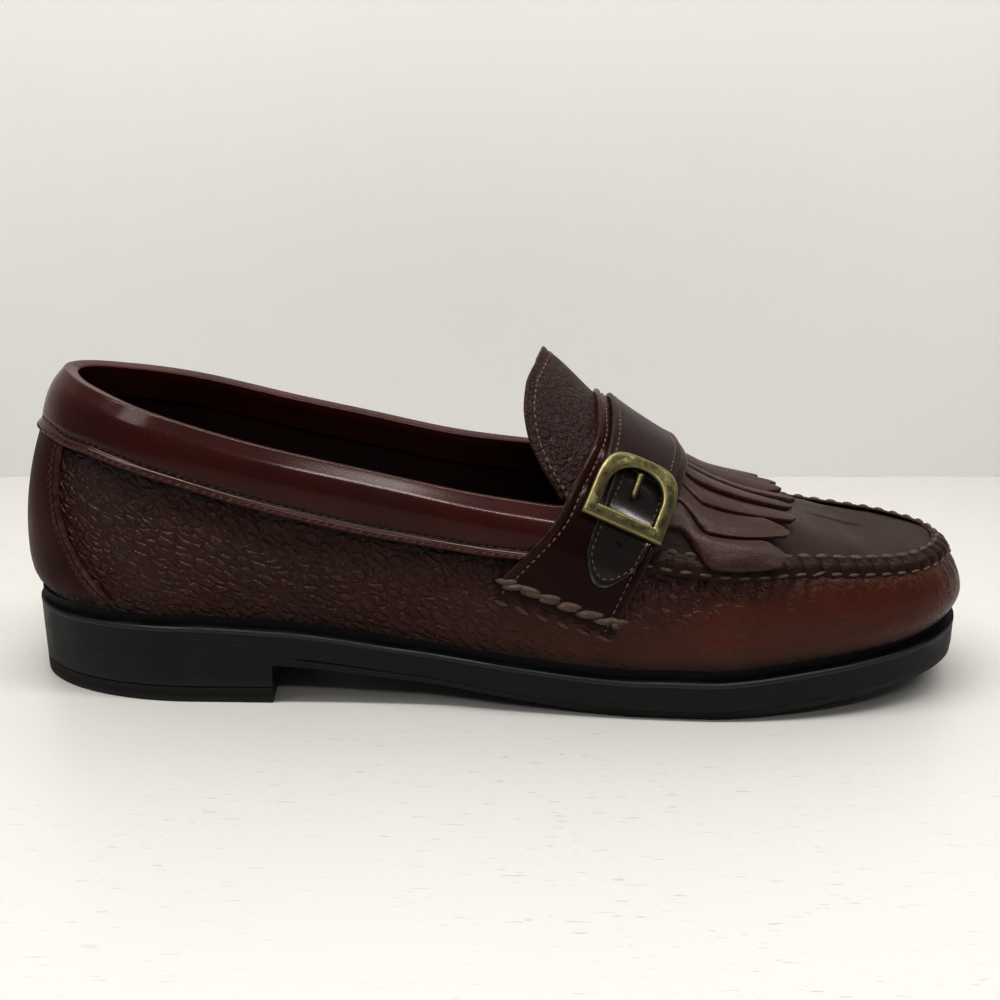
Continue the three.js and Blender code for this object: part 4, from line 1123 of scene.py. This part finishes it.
class LOAFER_OT_upper(bpy.types.Operator):
    """Quarter, toe wall and plug"""
    bl_idname = "loafer.upper"
    bl_label = "Upper"

    def execute(self, context):
        tint = colours()
        skin = leather("Pebbled Upper Leather", *shades(tint.quarter, 0.35, 1.5), rough=0.28, web=1.0,
                       pebble=0.22, depth=0.95, web_size=350.0, pebble_size=1050.0, coat=0.05,
                       coat_rough=0.3, mottle_size=30.0, gloss=0.40, tone=shades(tint.wall, 0.35)[:2])
        plug = leather("Plug Leather", *shades(tint.plug, 0.45, 1.5), rough=0.42, web=0.35, pebble=0.3,
                       depth=0.16, web_size=420.0, pebble_size=1500.0, coat=0.05, mottle_size=28.0,
                       gloss=0.25)
        pitch = seam_pitch()
        thick, under = WALL - 0.1, -WALL + 0.1

        def skin_place(u, v):
            p = 2 * u - 1
            side = side_of(p)
            s = heel_to_toe(np.abs(p))
            top = lerp(rim_share(s, side, 3.0, 0), seam_up(s) + 0.02, smooth(s, 0.55, 0.655))
            return s, side * turn_at(s, v * top), under

        def skin_relief(on):
            """Puckers at the toe seam, worn wrinkles below them, and the folds."""
            run, down = seam_run(on.s), on.away["v1"]
            pucker = 0.40 * np.cos(2 * np.pi * run / pitch) * np.exp(-down / 3.4)
            worn = smooth(on.s, 0.655, 0.68) * (1 - smooth(on.s, 0.77, 0.84))
            wave = np.cos(3.7 * np.pi * run / pitch + 1.3 + 1.6 * np.sin(0.9 * run) + 0.22 * down)
            fine = (0.12 + 0.30 * worn) * wave * np.exp(-((down - 6.5) / 4.5) ** 2)
            on_seam = smooth(on.s, SEAM["at"][0], SEAM["at"][0] + 0.02)
            return (pucker + fine) * on_seam + creases(QUARTER_FOLDS + WALL_FOLDS, on.s, on.turn)

        def skin_tone(on):
            low = 1 - smooth(on.v, 0.15, 0.85)
            low_share = 0.9 * (0.35 + 0.65 * smooth(on.s, 0.35, 0.66))
            return np.clip(smooth(on.s, 0.62, 0.80) + low * low_share, 0, 1)

        def skin_shade(on):
            s, down = on.s, on.away["v1"]
            bottom = 0.6 * (1 - smooth(on.away["v0"], 0, 5))
            seam = 0.6 * (1 - smooth(down, 1, 15)) * smooth(s, 0.64, 0.67) * (1 - 0.5 * smooth(s, 0.85, 0.95))
            under_band = 1 - smooth(down, BAND_HEIGHT - 3.4, BAND_HEIGHT + 1.2)
            collar = 0.75 * under_band * (1 - smooth(s, 0.55, 0.6))
            return np.clip(bottom + seam + collar + 0.35 * smooth(s, 0.93, 1.0), 0, 1)

        even = {"first": False, "last": False}
        leather_piece("upper_skin", skin_place, knots(700, 1.05, **even), knots(58, 1.05, **even), thick, skin,
                      ["upper"], borders="", relief=skin_relief,
                      masks={"tone": skin_tone, "shade": skin_shade})

        def plug_place(u, v):
            s = lerp(0.63, 1.0, np.sin(v * np.pi / 2) ** 0.9)
            return s, (2 * u - 1) * turn_at(s, seam_up(s)), under

        def plug_relief(on):
            return creases(PLUG_FOLDS, on.s, on.turn) + 0.5 * np.exp(-(on.near("u0 u1") / 5) ** 2)

        leather_piece("plug", plug_place, knots(85, 1.0, **even), knots(112, 1.0, **even), thick, plug,
                      ["upper"], borders="", relief=plug_relief,
                      masks={"shade": lambda on: 0.35 * (1 - smooth(on.near("u0 u1"), 1, 9))})
        return {"FINISHED"}


# The bead's section from the wall to the plug. Rows: shares of its width and height, rubbed edge.
SEAM_SECTION = [
    (-0.60, -0.35, 0.0), (-0.52, 0.10, 0.0), (-0.44, 0.52, 0.2), (-0.34, 0.62, 0.3),
    (-0.25, 0.66, 0.3), (-0.12, 1.0, 0.5), (0.0, 1.1, 0.6), (0.12, 1.05, 0.5),
    (0.24, 0.82, 0.3), (0.32, 0.64, 0.2), (0.40, 0.60, 0.2), (0.47, 0.30, 0.0),
    (0.55, -0.35, 0.0),
]


class LOAFER_OT_seam(bpy.types.Operator):
    """Puckered toe seam with its two rows of hand stitches"""
    bl_idname = "loafer.seam"
    bl_label = "Toe Seam"

    def execute(self, context):
        pitch = seam_pitch()
        points, out, tangent = seam_line()
        across = unit(np.cross(tangent, out))
        run = run_along(points)
        phase = run / run[-1] * int(run[-1] / pitch)
        lobe = np.abs(np.cos(np.pi * phase)) ** 0.5
        rings = []
        for a, b, _ in SEAM_SECTION:
            swell = lerp(1.0, lobe, 0.5 * (1 - abs(a) * 1.2))
            rings.append(points + across * (a * SEAM_WIDTH) + out * (b * SEAM_HEIGHT * swell)[:, None])
        ribs = leather("Seam Leather", *shades(colours().plug, 0.3, 1.8), rough=0.46, web=0.1, pebble=0.25,
                       depth=0.1, coat=0.1)
        masks = {"edge": np.tile([rubbed for _, _, rubbed in SEAM_SECTION], len(points)),
                 "shade": np.repeat(0.75 * (1 - lobe), len(SEAM_SECTION))}
        add_object("seam_bead", np.stack(rings, axis=1).reshape(-1, 3),
                   grid_faces(len(points), len(SEAM_SECTION)), ribs, ["upper"], masks)
        for row, aside, high, tip, size, slant, sink in (
            ("wall", -0.45, 0.42, -0.7, (2.35, 0.85, 0.75), -6, 0.1),
            ("plug", 0.40, 0.62, 0.3, (2.1, 0.5, 0.5), 4, 0.2),
        ):
            line = points + across * (aside * SEAM_WIDTH) + out * (high * SEAM_HEIGHT)
            stitch_row(f"seam_stitches_{row}", (line, unit(out + across * tip)), pitch, size, pale_thread(),
                       slant=slant, sink=sink)
        where, normal, along = resample(points, out, pitch, 1.0)
        side = unit(np.cross(along, normal))
        # The cross threads lie a little to the wall's side of the bead's ridge
        start = where - side * (0.02 * SEAM_WIDTH) + normal * (0.5128 * SEAM_HEIGHT)
        base, faces = grain_of_rice()
        made = (start[:, None] + base[None, :, :1] * 2.6 * side[:, None]
                + base[None, :, 1:2] * 0.42 * along[:, None]
                + (base[None, :, 2:] * 0.5 + 0.1) * normal[:, None])
        add_object("seam_cross_threads", made.reshape(-1, 3), repeated(faces, len(base), len(start)),
                   ink_thread(), outward=False)
        return {"FINISHED"}


class LOAFER_OT_collar(bpy.types.Operator):
    """Padded collar band with its stitched lower border"""
    bl_idname = "loafer.collar"
    bl_label = "Collar Band"

    def execute(self, context):
        hide = burgundy("Collar Leather", 0.9, rough=0.36, depth=0.10, coat=0.65, coat_rough=0.15, gloss=0.15)
        # Steps down the band's section, closer together at the rolled lower border
        seam_step, border_step = 6.32, 6.75
        fine = np.sort(np.concatenate([np.linspace(0, 7, 40), [6.3, 6.45, 6.6, 6.75, 6.9, 6.97]]))
        part = {key: column(BAND_SECTION, "step", key)(fine) for key in ("down", "rise", "show")}
        count = len(fine)
        ts = np.linspace(-1, 1, 420)
        side = side_of(ts)
        roll = smooth(fine, 6.35, 6.6) * (1 - smooth(fine, 6.85, 7.0)) * (fine > 5)
        seat = np.exp(-((fine - seam_step) / 0.16) ** 2)
        grids = np.zeros((2, len(ts), count, 3))
        for j, step in enumerate(fine):
            inside = step < 2.5
            down = abs(part["down"][j])
            flip = smooth(step, 2.0, 3.0)
            skin = lerp(-WALL - 2 * GAP, GAP, flip)
            puff = lerp(-1, 1, flip) * part["show"][j] * BAND_THICKNESS + 0.9 * roll[j] - 0.5 * seat[j]
            crest = part["rise"][j] * BAND_THICKNESS * 1.25 * smooth(0.2 - down, 0, 0.2)
            for layer in (0, 1):
                grow = skin + layer * puff
                over = GAP + layer * crest if down < 0.2 else 0.0
                s = round_heel(np.abs(ts), 0.55)
                # The band's end follows the saddle's back border, which depends on the height there
                for _ in range(5):
                    height = down * (BAND_TURN_IN if inside else BAND_HEIGHT * band_share(s))
                    up = rim_share(s, side, height - over, grow)
                    s = round_heel(np.abs(ts), EDGE["back"](up) + 0.002)
                up = rim_share(s, side, height - over, grow)
                grids[layer, :, j] = last_point(s, side * turn_at(s, up), grow)
        under, face = grids
        # The edge mask paints a highlight on the rolled lower border, and the shade mask paints shade in the
        # groove at its seam
        masks = {"edge": np.tile(0.7 * roll, 2 * len(ts)), "shade": np.tile(0.8 * seat, 2 * len(ts))}
        roll_piece = add_object("collar_roll", grids[::-1].reshape(-1, 3), closed_faces(len(ts), count), hide,
                                ["collar_band"], masks, sharp=70)
        outward = grid_normals(face, face - under)
        seam, lower = (int(np.argmin(np.abs(fine - step))) for step in (seam_step, border_step))
        pitch = 2.6
        stitch_row("collar_stitches", (face[:, seam], outward[:, seam]), pitch, (0.95, 0.3, 0.4), ink_thread(),
                   sink=-0.2)
        stitch_row("collar_border_stitches", (face[:, lower], outward[:, lower]), pitch, (1.0, 0.42, 0.35),
                   ink_thread(), slant=35, sink=0.1)
        return {"FINISHED"}


def folded(on, borders, width=2.4, height=0.45):
    """A folded border: a raised rounded strip with a groove at its inner side."""
    near = on.near(borders)
    strip = height * np.sqrt(np.clip(1 - ((near - width / 2) / (width / 2)) ** 2, 0, 1))
    return strip - 0.22 * np.exp(-((near - width - 0.25) / 0.3) ** 2)


class LOAFER_OT_back_stay(bpy.types.Operator):
    """Back stay with its folded, stitched border"""
    bl_idname = "loafer.back_stay"
    bl_label = "Back Stay"

    def execute(self, context):
        def place(u, v):
            p = 2 * u - 1
            side = side_of(p)
            s = np.abs(p) ** STAY_EDGE["round"] * lerp(STAY_EDGE["top"], STAY_EDGE["foot"], v**2)
            top = rim_share(s, side, BAND_HEIGHT * band_share(s) - 1.5, GAP)
            return s, side * turn_at(s, lerp(top, STAY_EDGE["low"], v)), GAP / 2

        hide = burgundy("Back Stay Leather", 0.7, rough=0.42, depth=0.06, coat=0.12, coat_rough=0.2,
                        gloss=0.10)

        def relief(on):
            return folded(on, "u0 u1", 2.8, 0.4) - 0.3 * np.exp(-((on.away["v1"] - 1) / 1.5) ** 2)

        # The tone mask gives the folded borders their painted highlight, and the shade mask paints shade along
        # the foot
        face = leather_piece("back_stay_leather", place, knots(90, 0.9), knots(52, 1.2), STAY_THICKNESS, hide,
                             ["back_stay"], relief=relief,
                             masks={"tone": lambda on: 1 - smooth(on.near("u0 u1"), 2.7, 2.9),
                                    "shade": lambda on: 0.5 * (1 - smooth(on.away["v1"], 0, 4))})
        pitch = row_pitch()
        for border in ("u0", "u1"):
            stitch_row(f"stay_stitches_{border}", face.path(border, 3.6), pitch, (0.85, 0.26, 0.3),
                       ink_thread())
            stitch_row(f"stay_border_stitches_{border}", face.path(border, 1.4), pitch, (0.8, 0.24, 0.25),
                       ink_thread(), sink=0.2)
        return {"FINISHED"}


def saddle_seat(turn):
    """How far the saddle lies off the last: over the tongue, then on the upper."""
    past_tongue = smooth(np.abs(turn), SADDLE_SEAT["high"], SADDLE_SEAT["low"])
    return lerp(GAP * 2 + TONGUE_THICKNESS, GAP, past_tongue)


class LOAFER_OT_tongue(bpy.types.Operator):
    """Tongue flap with its bound, stitched edge"""
    bl_idname = "loafer.tongue"
    bl_label = "Tongue"

    def execute(self, context):
        foot = EDGE["back"](TONGUE_FOOT)

        def place(u, v):
            lowest = rim_share(foot, np.sign(u - 0.5), -BAND_THICKNESS, GAP)
            turn = (2 * u - 1) * turn_at(foot, lowest)
            up = height_at(foot, turn)
            edge = flap_at(up) + 0.008 * smooth(u, 0.5, 0.6)
            s = lerp(edge, YOKE[0] - 2 * GAP / LENGTH, v)
            return s, np.sign(turn) * turn_at(s, up), GAP

        def relief(on):
            """The bound edge, the peak on the ridge and shallow waves beside it."""
            near = 1 - smooth(on.away["v0"], 0, 30)
            peak = 2.6 * np.exp(-(((on.u - 0.5) / 0.13) ** 2)) * near
            waves = 0.4 * np.sin(5.0 * np.pi * on.u) * near * np.sin(np.pi * on.u)
            return folded(on, "v0", 1.5, 0.35) + peak + waves

        face = leather_piece("tongue_flap", place, knots(110, 1.2), knots(36, 0.9), TONGUE_THICKNESS,
                             tongue_leather(), ["tongue"], relief=relief)
        stitch_row("tongue_stitches", face.path("v0", 3.4), 2.3, (0.95, 0.3, 0.32), fine_thread())
        return {"FINISHED"}


def over_bead(s, turn):
    """How far the fringe is lifted where it hangs over the seam's bead."""
    past = height_at(s, turn) - seam_up(s)
    near = 1 - smooth(past, KILTIE_LIFT["low"], KILTIE_LIFT["high"])
    return (SEAM_HEIGHT + GAP) * near * smooth(s, YOKE[1], YOKE[2])


def kiltie_side(s):
    """Turn of the kiltie's outer borders."""
    return turn_at(s, seam_up(s) + lerp(KILTIE_LOW["root"], KILTIE_LOW["tip"], smooth(s, YOKE[1], YOKE[2])))


class LOAFER_OT_kiltie(bpy.types.Operator):
    """Fringe of the kiltie, each strip cut with a notched tip"""
    bl_idname = "loafer.kiltie"
    bl_label = "Kiltie"

    def execute(self, context):
        rng = np.random.default_rng(11)
        for strip in range(STRIPS):
            side = 1 if strip >= STRIPS / 2 else -1
            first, last = strip == 0, strip == STRIPS - 1
            middle = (2 * strip + 1) / STRIPS - 1
            odd = strip % 2
            reach = lerp(KILTIE_TIP["ridge"], KILTIE_TIP["side"], middle**2)
            reach -= 0.5 * odd * KILTIE_NOTCH / LENGTH
            lift = 0.35 * odd + (0.3 if first or last else 0.0)
            flare = rng.uniform(0.5, 0.9) * (0.4 if last else 1.0)
            tilt = rng.uniform(0.35, 0.6) * side

            def place(u, v):
                q = 2 * u - 1
                point = KILTIE_NOTCH / LENGTH * (0.9 - 1.3 * np.abs(q - 0.4 * side) ** 1.25)
                s = lerp(YOKE[0], reach + point, v)
                slit = 0.6 * STRIP_GAP / BALL_WIDTH * smooth(s, 0.668, 0.70)
                low = 2 * strip / STRIPS - 1 + (0 if first else slit)
                high = 2 * (strip + 1) / STRIPS - 1 - (0 if last else slit)
                turn = lerp(low, high, u) * kiltie_side(s)
                down = smooth(s, YOKE[2], reach + 0.01)
                free = smooth(s, 0.672, 0.72)
                grow = (GAP + over_bead(s, turn) + STRIP_CURL * flare * down**2 + lift * free
                        - 0.4 * q**2 * free + tilt * q * free)
                if first or last:
                    grow = grow + 1.2 * np.exp(-((s - 0.735) / 0.02) ** 2) * (1 - q**2)
                return s, turn, grow

            leather_piece(f"kiltie_strip_{strip + 1:02d}", place, knots(9, 0.8, 0.6), knots(45, 0.9, 0.6),
                          TONGUE_THICKNESS, kiltie_leather(), ["kiltie"], rim=0.6,
                          masks={"shade": lambda on: 0.45 * (1 - smooth(on.near("u0 u1"), 0, 0.9))})
        return {"FINISHED"}


class LOAFER_OT_saddle(bpy.types.Operator):
    """Saddle over the instep with folded borders and rope stitching at its foot"""
    bl_idname = "loafer.saddle"
    bl_label = "Saddle"

    def execute(self, context):
        back, front = EDGE["back"], EDGE["front"]
        hide = burgundy("Saddle Leather", 0.42, rough=0.32, depth=0.07, coat=0.3, coat_rough=0.14, gloss=0.10)

        def place(u, v):
            foot_up = lerp(SADDLE_FOOT["back"], SADDLE_FOOT["front"], v)
            middle = lerp(back(foot_up), front(foot_up), v)
            turn = (2 * u - 1) * turn_at(middle, foot_up)
            up = height_at(middle, turn)
            s = lerp(back(up), front(up), v)
            return s, np.sign(turn) * turn_at(s, up), saddle_seat(turn)

        def relief(on):
            """Folded borders, and a groove under the rope stitching."""
            return folded(on, "v0 v1", 2.2) - 0.35 * np.exp(-((on.near("u0 u1") - 3.6) / 0.9) ** 2)

        # The tone mask gives the folded borders their painted highlight, and the shade mask paints shade along
        # the foot
        face = leather_piece("saddle_leather", place, knots(230, 1.1), knots(30, 0.8), SADDLE_THICKNESS, hide,
                             ["saddle"], relief=relief,
                             masks={"tone": lambda on: 0.7 - 0.7 * smooth(on.near("v0 v1"), 2.1, 2.3),
                                    "shade": lambda on: 0.5 * (1 - smooth(on.near("u0 u1"), 0, 5))})
        for border in ("v0", "v1"):
            stitch_row(f"saddle_stitches_{border}", face.path(border, 3.2), row_pitch(), (0.9, 0.28, 0.3),
                       fine_thread())
        rope_pitch = 5.7
        for border, side in (("u0", -1), ("u1", 1)):
            for strand, inset, lead in (("upper", 4.0, 0.5), ("lower", 3.1, 0.98)):
                stitch_row(f"saddle_rope_{strand}_{border}", face.path(border, inset), rope_pitch,
                           (3.9, 1.15, 1.2), pale_thread(), slant=13, sink=0.0, lead=lead)
            # A row of single stitches on the upper, just below the saddle's foot
            points, _ = face.path(border, 0.0)
            foot_up = np.linspace(SADDLE_FOOT["back"], SADDLE_FOOT["front"], len(points)) - 0.035
            shares = (points[:, 0] - lean(points[:, 0] / LENGTH, points[:, 2])) / LENGTH
            turn = side * turn_at(shares, foot_up)
            row = last_point(shares, turn, 0.25)
            out = unit(last_point(shares, turn, 1.25) - row)
            stitch_row(f"saddle_low_stitches_{border}", (row, out), rope_pitch, (2.3, 0.75, 0.75),
                       pale_thread(), slant=-8, sink=0.05)
        return {"FINISHED"}


def strap_seat(turn):
    """How far the strap lies off the last."""
    return saddle_seat(turn) + SADDLE_THICKNESS + GAP


class LOAFER_OT_strap(bpy.types.Operator):
    """Strap over the saddle with stitched borders"""
    bl_idname = "loafer.strap"
    bl_label = "Cross Strap"

    def execute(self, context):
        at = BUCKLE_CENTRE["at"]

        def place(u, v):
            turn = lerp(-turn_at(at, STRAP_END["lateral"]), turn_at(at, STRAP_END["medial"]), u)
            up = height_at(at, turn)
            s = lerp(EDGE["strap_back"](up), EDGE["strap_front"](up), v)
            return s, np.sign(turn) * turn_at(s, up), strap_seat(turn) - 0.1

        hide = leather("Strap Leather", *shades(colours().strap, 0.45, 2.4), rough=0.4, pebble=0.15,
                       depth=0.05, pebble_size=1100.0, coat=0.2)
        face = leather_piece("strap_over_instep", place, knots(120, 1.1), knots(24, 0.8), STRAP_THICKNESS,
                             hide, ["cross_strap"],
                             relief=lambda on: folded(on, "v0 v1", 1.6, 0.2))
        for border in ("v0", "v1"):
            stitch_row(f"strap_stitches_{border}", face.path(border, 2.7), row_pitch(), (0.9, 0.28, 0.3),
                       fine_thread())
        return {"FINISHED"}


def billet_at(across, u, grow):
    """A point of the strap's narrow end. across: -1 to 1, u: 0 at the strap to 1 at the tip."""
    half = BILLET_WIDTH / 2 / LENGTH
    tip = BILLET_TIP["up"] + BILLET_TIP["round"] * across**2
    up = lerp(STRAP_END["lateral"] + 0.02, tip, u)
    middle = BUCKLE_CENTRE["at"] + BILLET_SLANT * (up - BUCKLE_CENTRE["up"]) + STRAP_THICKNESS / LENGTH
    s = middle + across * half * (1 - BILLET_TIP["narrow"] * u**6)
    turn = turn_at(s, up)
    return s, -turn, strap_seat(turn) + grow


class LOAFER_OT_billet(bpy.types.Operator):
    """Punched and stitched end of the strap"""
    bl_idname = "loafer.billet"
    bl_label = "Billet"

    def execute(self, context):
        tint = tuple(colours().billet)
        hide = leather("Billet Leather", tint, scaled(tint, 0.6), (0.20, 0.20, 0.17), rough=0.22, web=0.1,
                       pebble=0.2, depth=0.05, pebble_size=900.0, coat=0.6, coat_rough=0.12, mottle=0.4)
        face = leather_piece("billet_strap", lambda u, v: billet_at(2 * v - 1, u, 0.0), knots(42, 0.7),
                             knots(15, 0.6), STRAP_THICKNESS, hide, ["billet"], rim=0.7,
                             relief=lambda on: 0.25 * (1 - smooth(on.near("v0 v1 u1"), 1.0, 1.6)))
        # One row of stitches: up one side, round the tip and down the other side
        left, right, tip = (face.path(border, 2.6) for border in ("v0", "v1", "u1"))
        stop = int(len(left[0]) * 0.88)
        line = [np.concatenate([a[:stop], b[5:-5], c[:stop][::-1]]) for a, b, c in zip(left, tip, right)]
        stitch_row("billet_stitches", line, 2.1, (0.85, 0.34, 0.4), pale_thread())
        # The punched holes are near-black discs laid on the billet: painted shade for the dark inside of each
        # hole
        dark = rubber("Punched Hole Shade", (0.002, 0.002, 0.002), (0.004, 0.004, 0.004), rough=0.8, dust=0.1)
        s, turn, grow = billet_at(0.0, np.array([0.18, 0.40, 0.62]), STRAP_THICKNESS)
        spots = last_point(s, turn, grow)
        normals = unit(last_point(s, turn, grow + 1) - spots)
        radius, deep = 0.95, 0.12
        base, faces = grain_of_rice(12, 7)
        holes = []
        for spot, normal in zip(spots, normals):
            side = unit(np.cross(normal, [0, 0, 1.0]))
            over = np.cross(normal, side)
            flat = (base[:, :1] * side + base[:, 1:2] * over) * radius
            holes.append(spot + flat + base[:, 2:] * deep * normal)
        add_object("billet_hole_shade", np.concatenate(holes), repeated(faces, len(base), len(holes)), dark,
                   outward=False)
        return {"FINISHED"}


def buckle_matrix():
    """Where the buckle lies: flat on the billet, its bar tilted down to the front."""
    at, up = BUCKLE_CENTRE["at"], BUCKLE_CENTRE["up"]
    turn = float(turn_at(at, up))
    grow = float(strap_seat(turn)) + STRAP_THICKNESS + GAP
    step = 0.02
    place = last_point(at, -turn, grow)
    along = unit(last_point(at + step, -turn, grow) - last_point(at - step, -turn, grow))
    over = unit(last_point(at, -turn + step, grow) - last_point(at, -turn - step, grow))
    out = unit(np.cross(along, over))
    bar = np.array(Matrix.Rotation(-math.radians(BUCKLE_TILT), 3, Vector(out)) @ Vector(along))
    return place, bar, np.cross(out, bar), out


def buckle_line(inset, count=26):
    """The buckle's outline at an inset: bar, sides and arch, as many points at every inset."""
    half = BUCKLE_WIDTH / 2 - inset
    low, high = -BUCKLE_HEIGHT / 2 + inset, BUCKLE_HEIGHT / 2 - inset
    shoulder = lerp(low, high, BUCKLE_SHOULDER["up"])
    bow = half * BUCKLE_SHOULDER["round"]
    t = np.linspace(0, 1, count)[:-1, None]
    straight = lambda a, b: lerp(np.array(a, float), np.array(b, float), t)

    def curve(a, b, c, d):
        a, b, c, d = (np.array(p, float) for p in (a, b, c, d))
        return a * (1 - t) ** 3 + 3 * b * t * (1 - t) ** 2 + 3 * c * t**2 * (1 - t) + d * t**3

    return np.concatenate([
        straight((-half, low), (half, low)), straight((half, low), (half, shoulder)),
        curve((half, shoulder), (half, high - inset), (bow, high), (0, high)),
        curve((0, high), (-bow, high), (-half, high - inset), (-half, shoulder)),
        straight((-half, shoulder), (-half, low))])


def placed(flat):
    """Points of the buckle, bent round the instep and laid in their place."""
    origin, bar, high, out = buckle_matrix()
    lift = flat[:, 2] - flat[:, 1] ** 2 / (2 * BUCKLE_BEND)
    return origin + flat[:, :1] * bar + flat[:, 1:2] * high + lift[:, None] * out


# The frame's section round its bar. Rows: inset, height, rubbed edge.
BUCKLE_SECTION = [
    (0.0, 0.35, 0.3), (0.0, 1.5, 0.8), (0.18, 1.95, 1.0), (0.5, 2.2, 0.9), (0.9, 2.28, 0.2), (1.6, 2.3, 0.0),
    (2.5, 2.3, 0.0), (3.2, 2.25, 0.25), (3.6, 2.1, 0.9), (3.9, 1.75, 0.7), (4.0, 1.3, 0.1), (4.0, 0.35, 0.0),
    (3.7, 0.0, 0.0), (0.3, 0.0, 0.0),
]


class LOAFER_OT_buckle(bpy.types.Operator):
    """Buckle frame and prong"""
    bl_idname = "loafer.buckle"
    bl_label = "Buckle"

    def execute(self, context):
        metal = brass("Antique Brass")
        lines = [buckle_line(inset) for inset, _, _ in BUCKLE_SECTION]
        count, total = len(lines[0]), len(BUCKLE_SECTION)
        rings = [placed(np.column_stack([line, np.full(count, BUCKLE_STAND + up)]))
                 for line, (_, up, _) in zip(lines, BUCKLE_SECTION)]
        faces = ring_faces(total + 1, count) % (total * count)
        edge = np.repeat([wear for _, _, wear in BUCKLE_SECTION], count)
        add_object("buckle_d_frame", np.concatenate(rings), faces, metal, ["buckle_frame"],
                   {"edge": edge}, sharp=40)
        top = BUCKLE_HEIGHT / 2 - BUCKLE_BAND - GAP
        around = 12
        angle = np.arange(around) / around * 2 * np.pi
        rings = []
        for t in np.linspace(0, 1, 15):
            knob = 1 + 0.35 * math.exp(-((t - 0.12) / 0.1) ** 2)
            radius = knob * math.sqrt(max(0.02, 1 - abs(2 * t - 1) ** 6))
            rings.append(np.column_stack([radius * np.cos(angle), np.full(around, top - PRONG_LENGTH * t),
                                          1.15 + GAP + radius * np.sin(angle) * 0.9]))
        add_object("prong_pin", placed(np.concatenate(rings)), ring_faces(len(rings), around), metal,
                   ["buckle_prong"], {"edge": np.full(around * len(rings), 0.3)}, sharp=60)
        return {"FINISHED"}


class LOAFER_PT_panel(bpy.types.Panel):
    """Lists the loafer's settings and the operators that build it."""
    bl_idname = "LOAFER_PT_panel"
    bl_label = "Kiltie Buckle Loafer"
    bl_space_type = "VIEW_3D"
    bl_region_type = "UI"
    bl_category = "Loafer"

    def draw(self, context):
        for holder in (context.scene.loafer_sizes, context.scene.loafer_colours):
            box = self.layout.box()
            for key in holder.__annotations__:
                box.prop(holder, key)
        for operator in OPERATORS:
            self.layout.operator(operator.bl_idname)


OPERATORS = (LOAFER_OT_stage, LOAFER_OT_sole, LOAFER_OT_inside, LOAFER_OT_upper, LOAFER_OT_seam,
             LOAFER_OT_collar, LOAFER_OT_back_stay, LOAFER_OT_tongue, LOAFER_OT_kiltie, LOAFER_OT_saddle,
             LOAFER_OT_strap, LOAFER_OT_billet, LOAFER_OT_buckle)
CLASSES = (LOAFER_PG_sizes, LOAFER_PG_colours, *OPERATORS, LOAFER_PT_panel)


def register():
    for cls in CLASSES:
        bpy.utils.register_class(cls)
    bpy.types.Scene.loafer_sizes = bpy.props.PointerProperty(type=LOAFER_PG_sizes)
    bpy.types.Scene.loafer_colours = bpy.props.PointerProperty(type=LOAFER_PG_colours)


def unregister():
    del bpy.types.Scene.loafer_colours
    del bpy.types.Scene.loafer_sizes
    for cls in reversed(CLASSES):
        bpy.utils.unregister_class(cls)


def main():
    register()
    for operator in OPERATORS:
        group, name = operator.bl_idname.split(".")
        getattr(getattr(bpy.ops, group), name)()


if __name__ == "__main__":
    main()
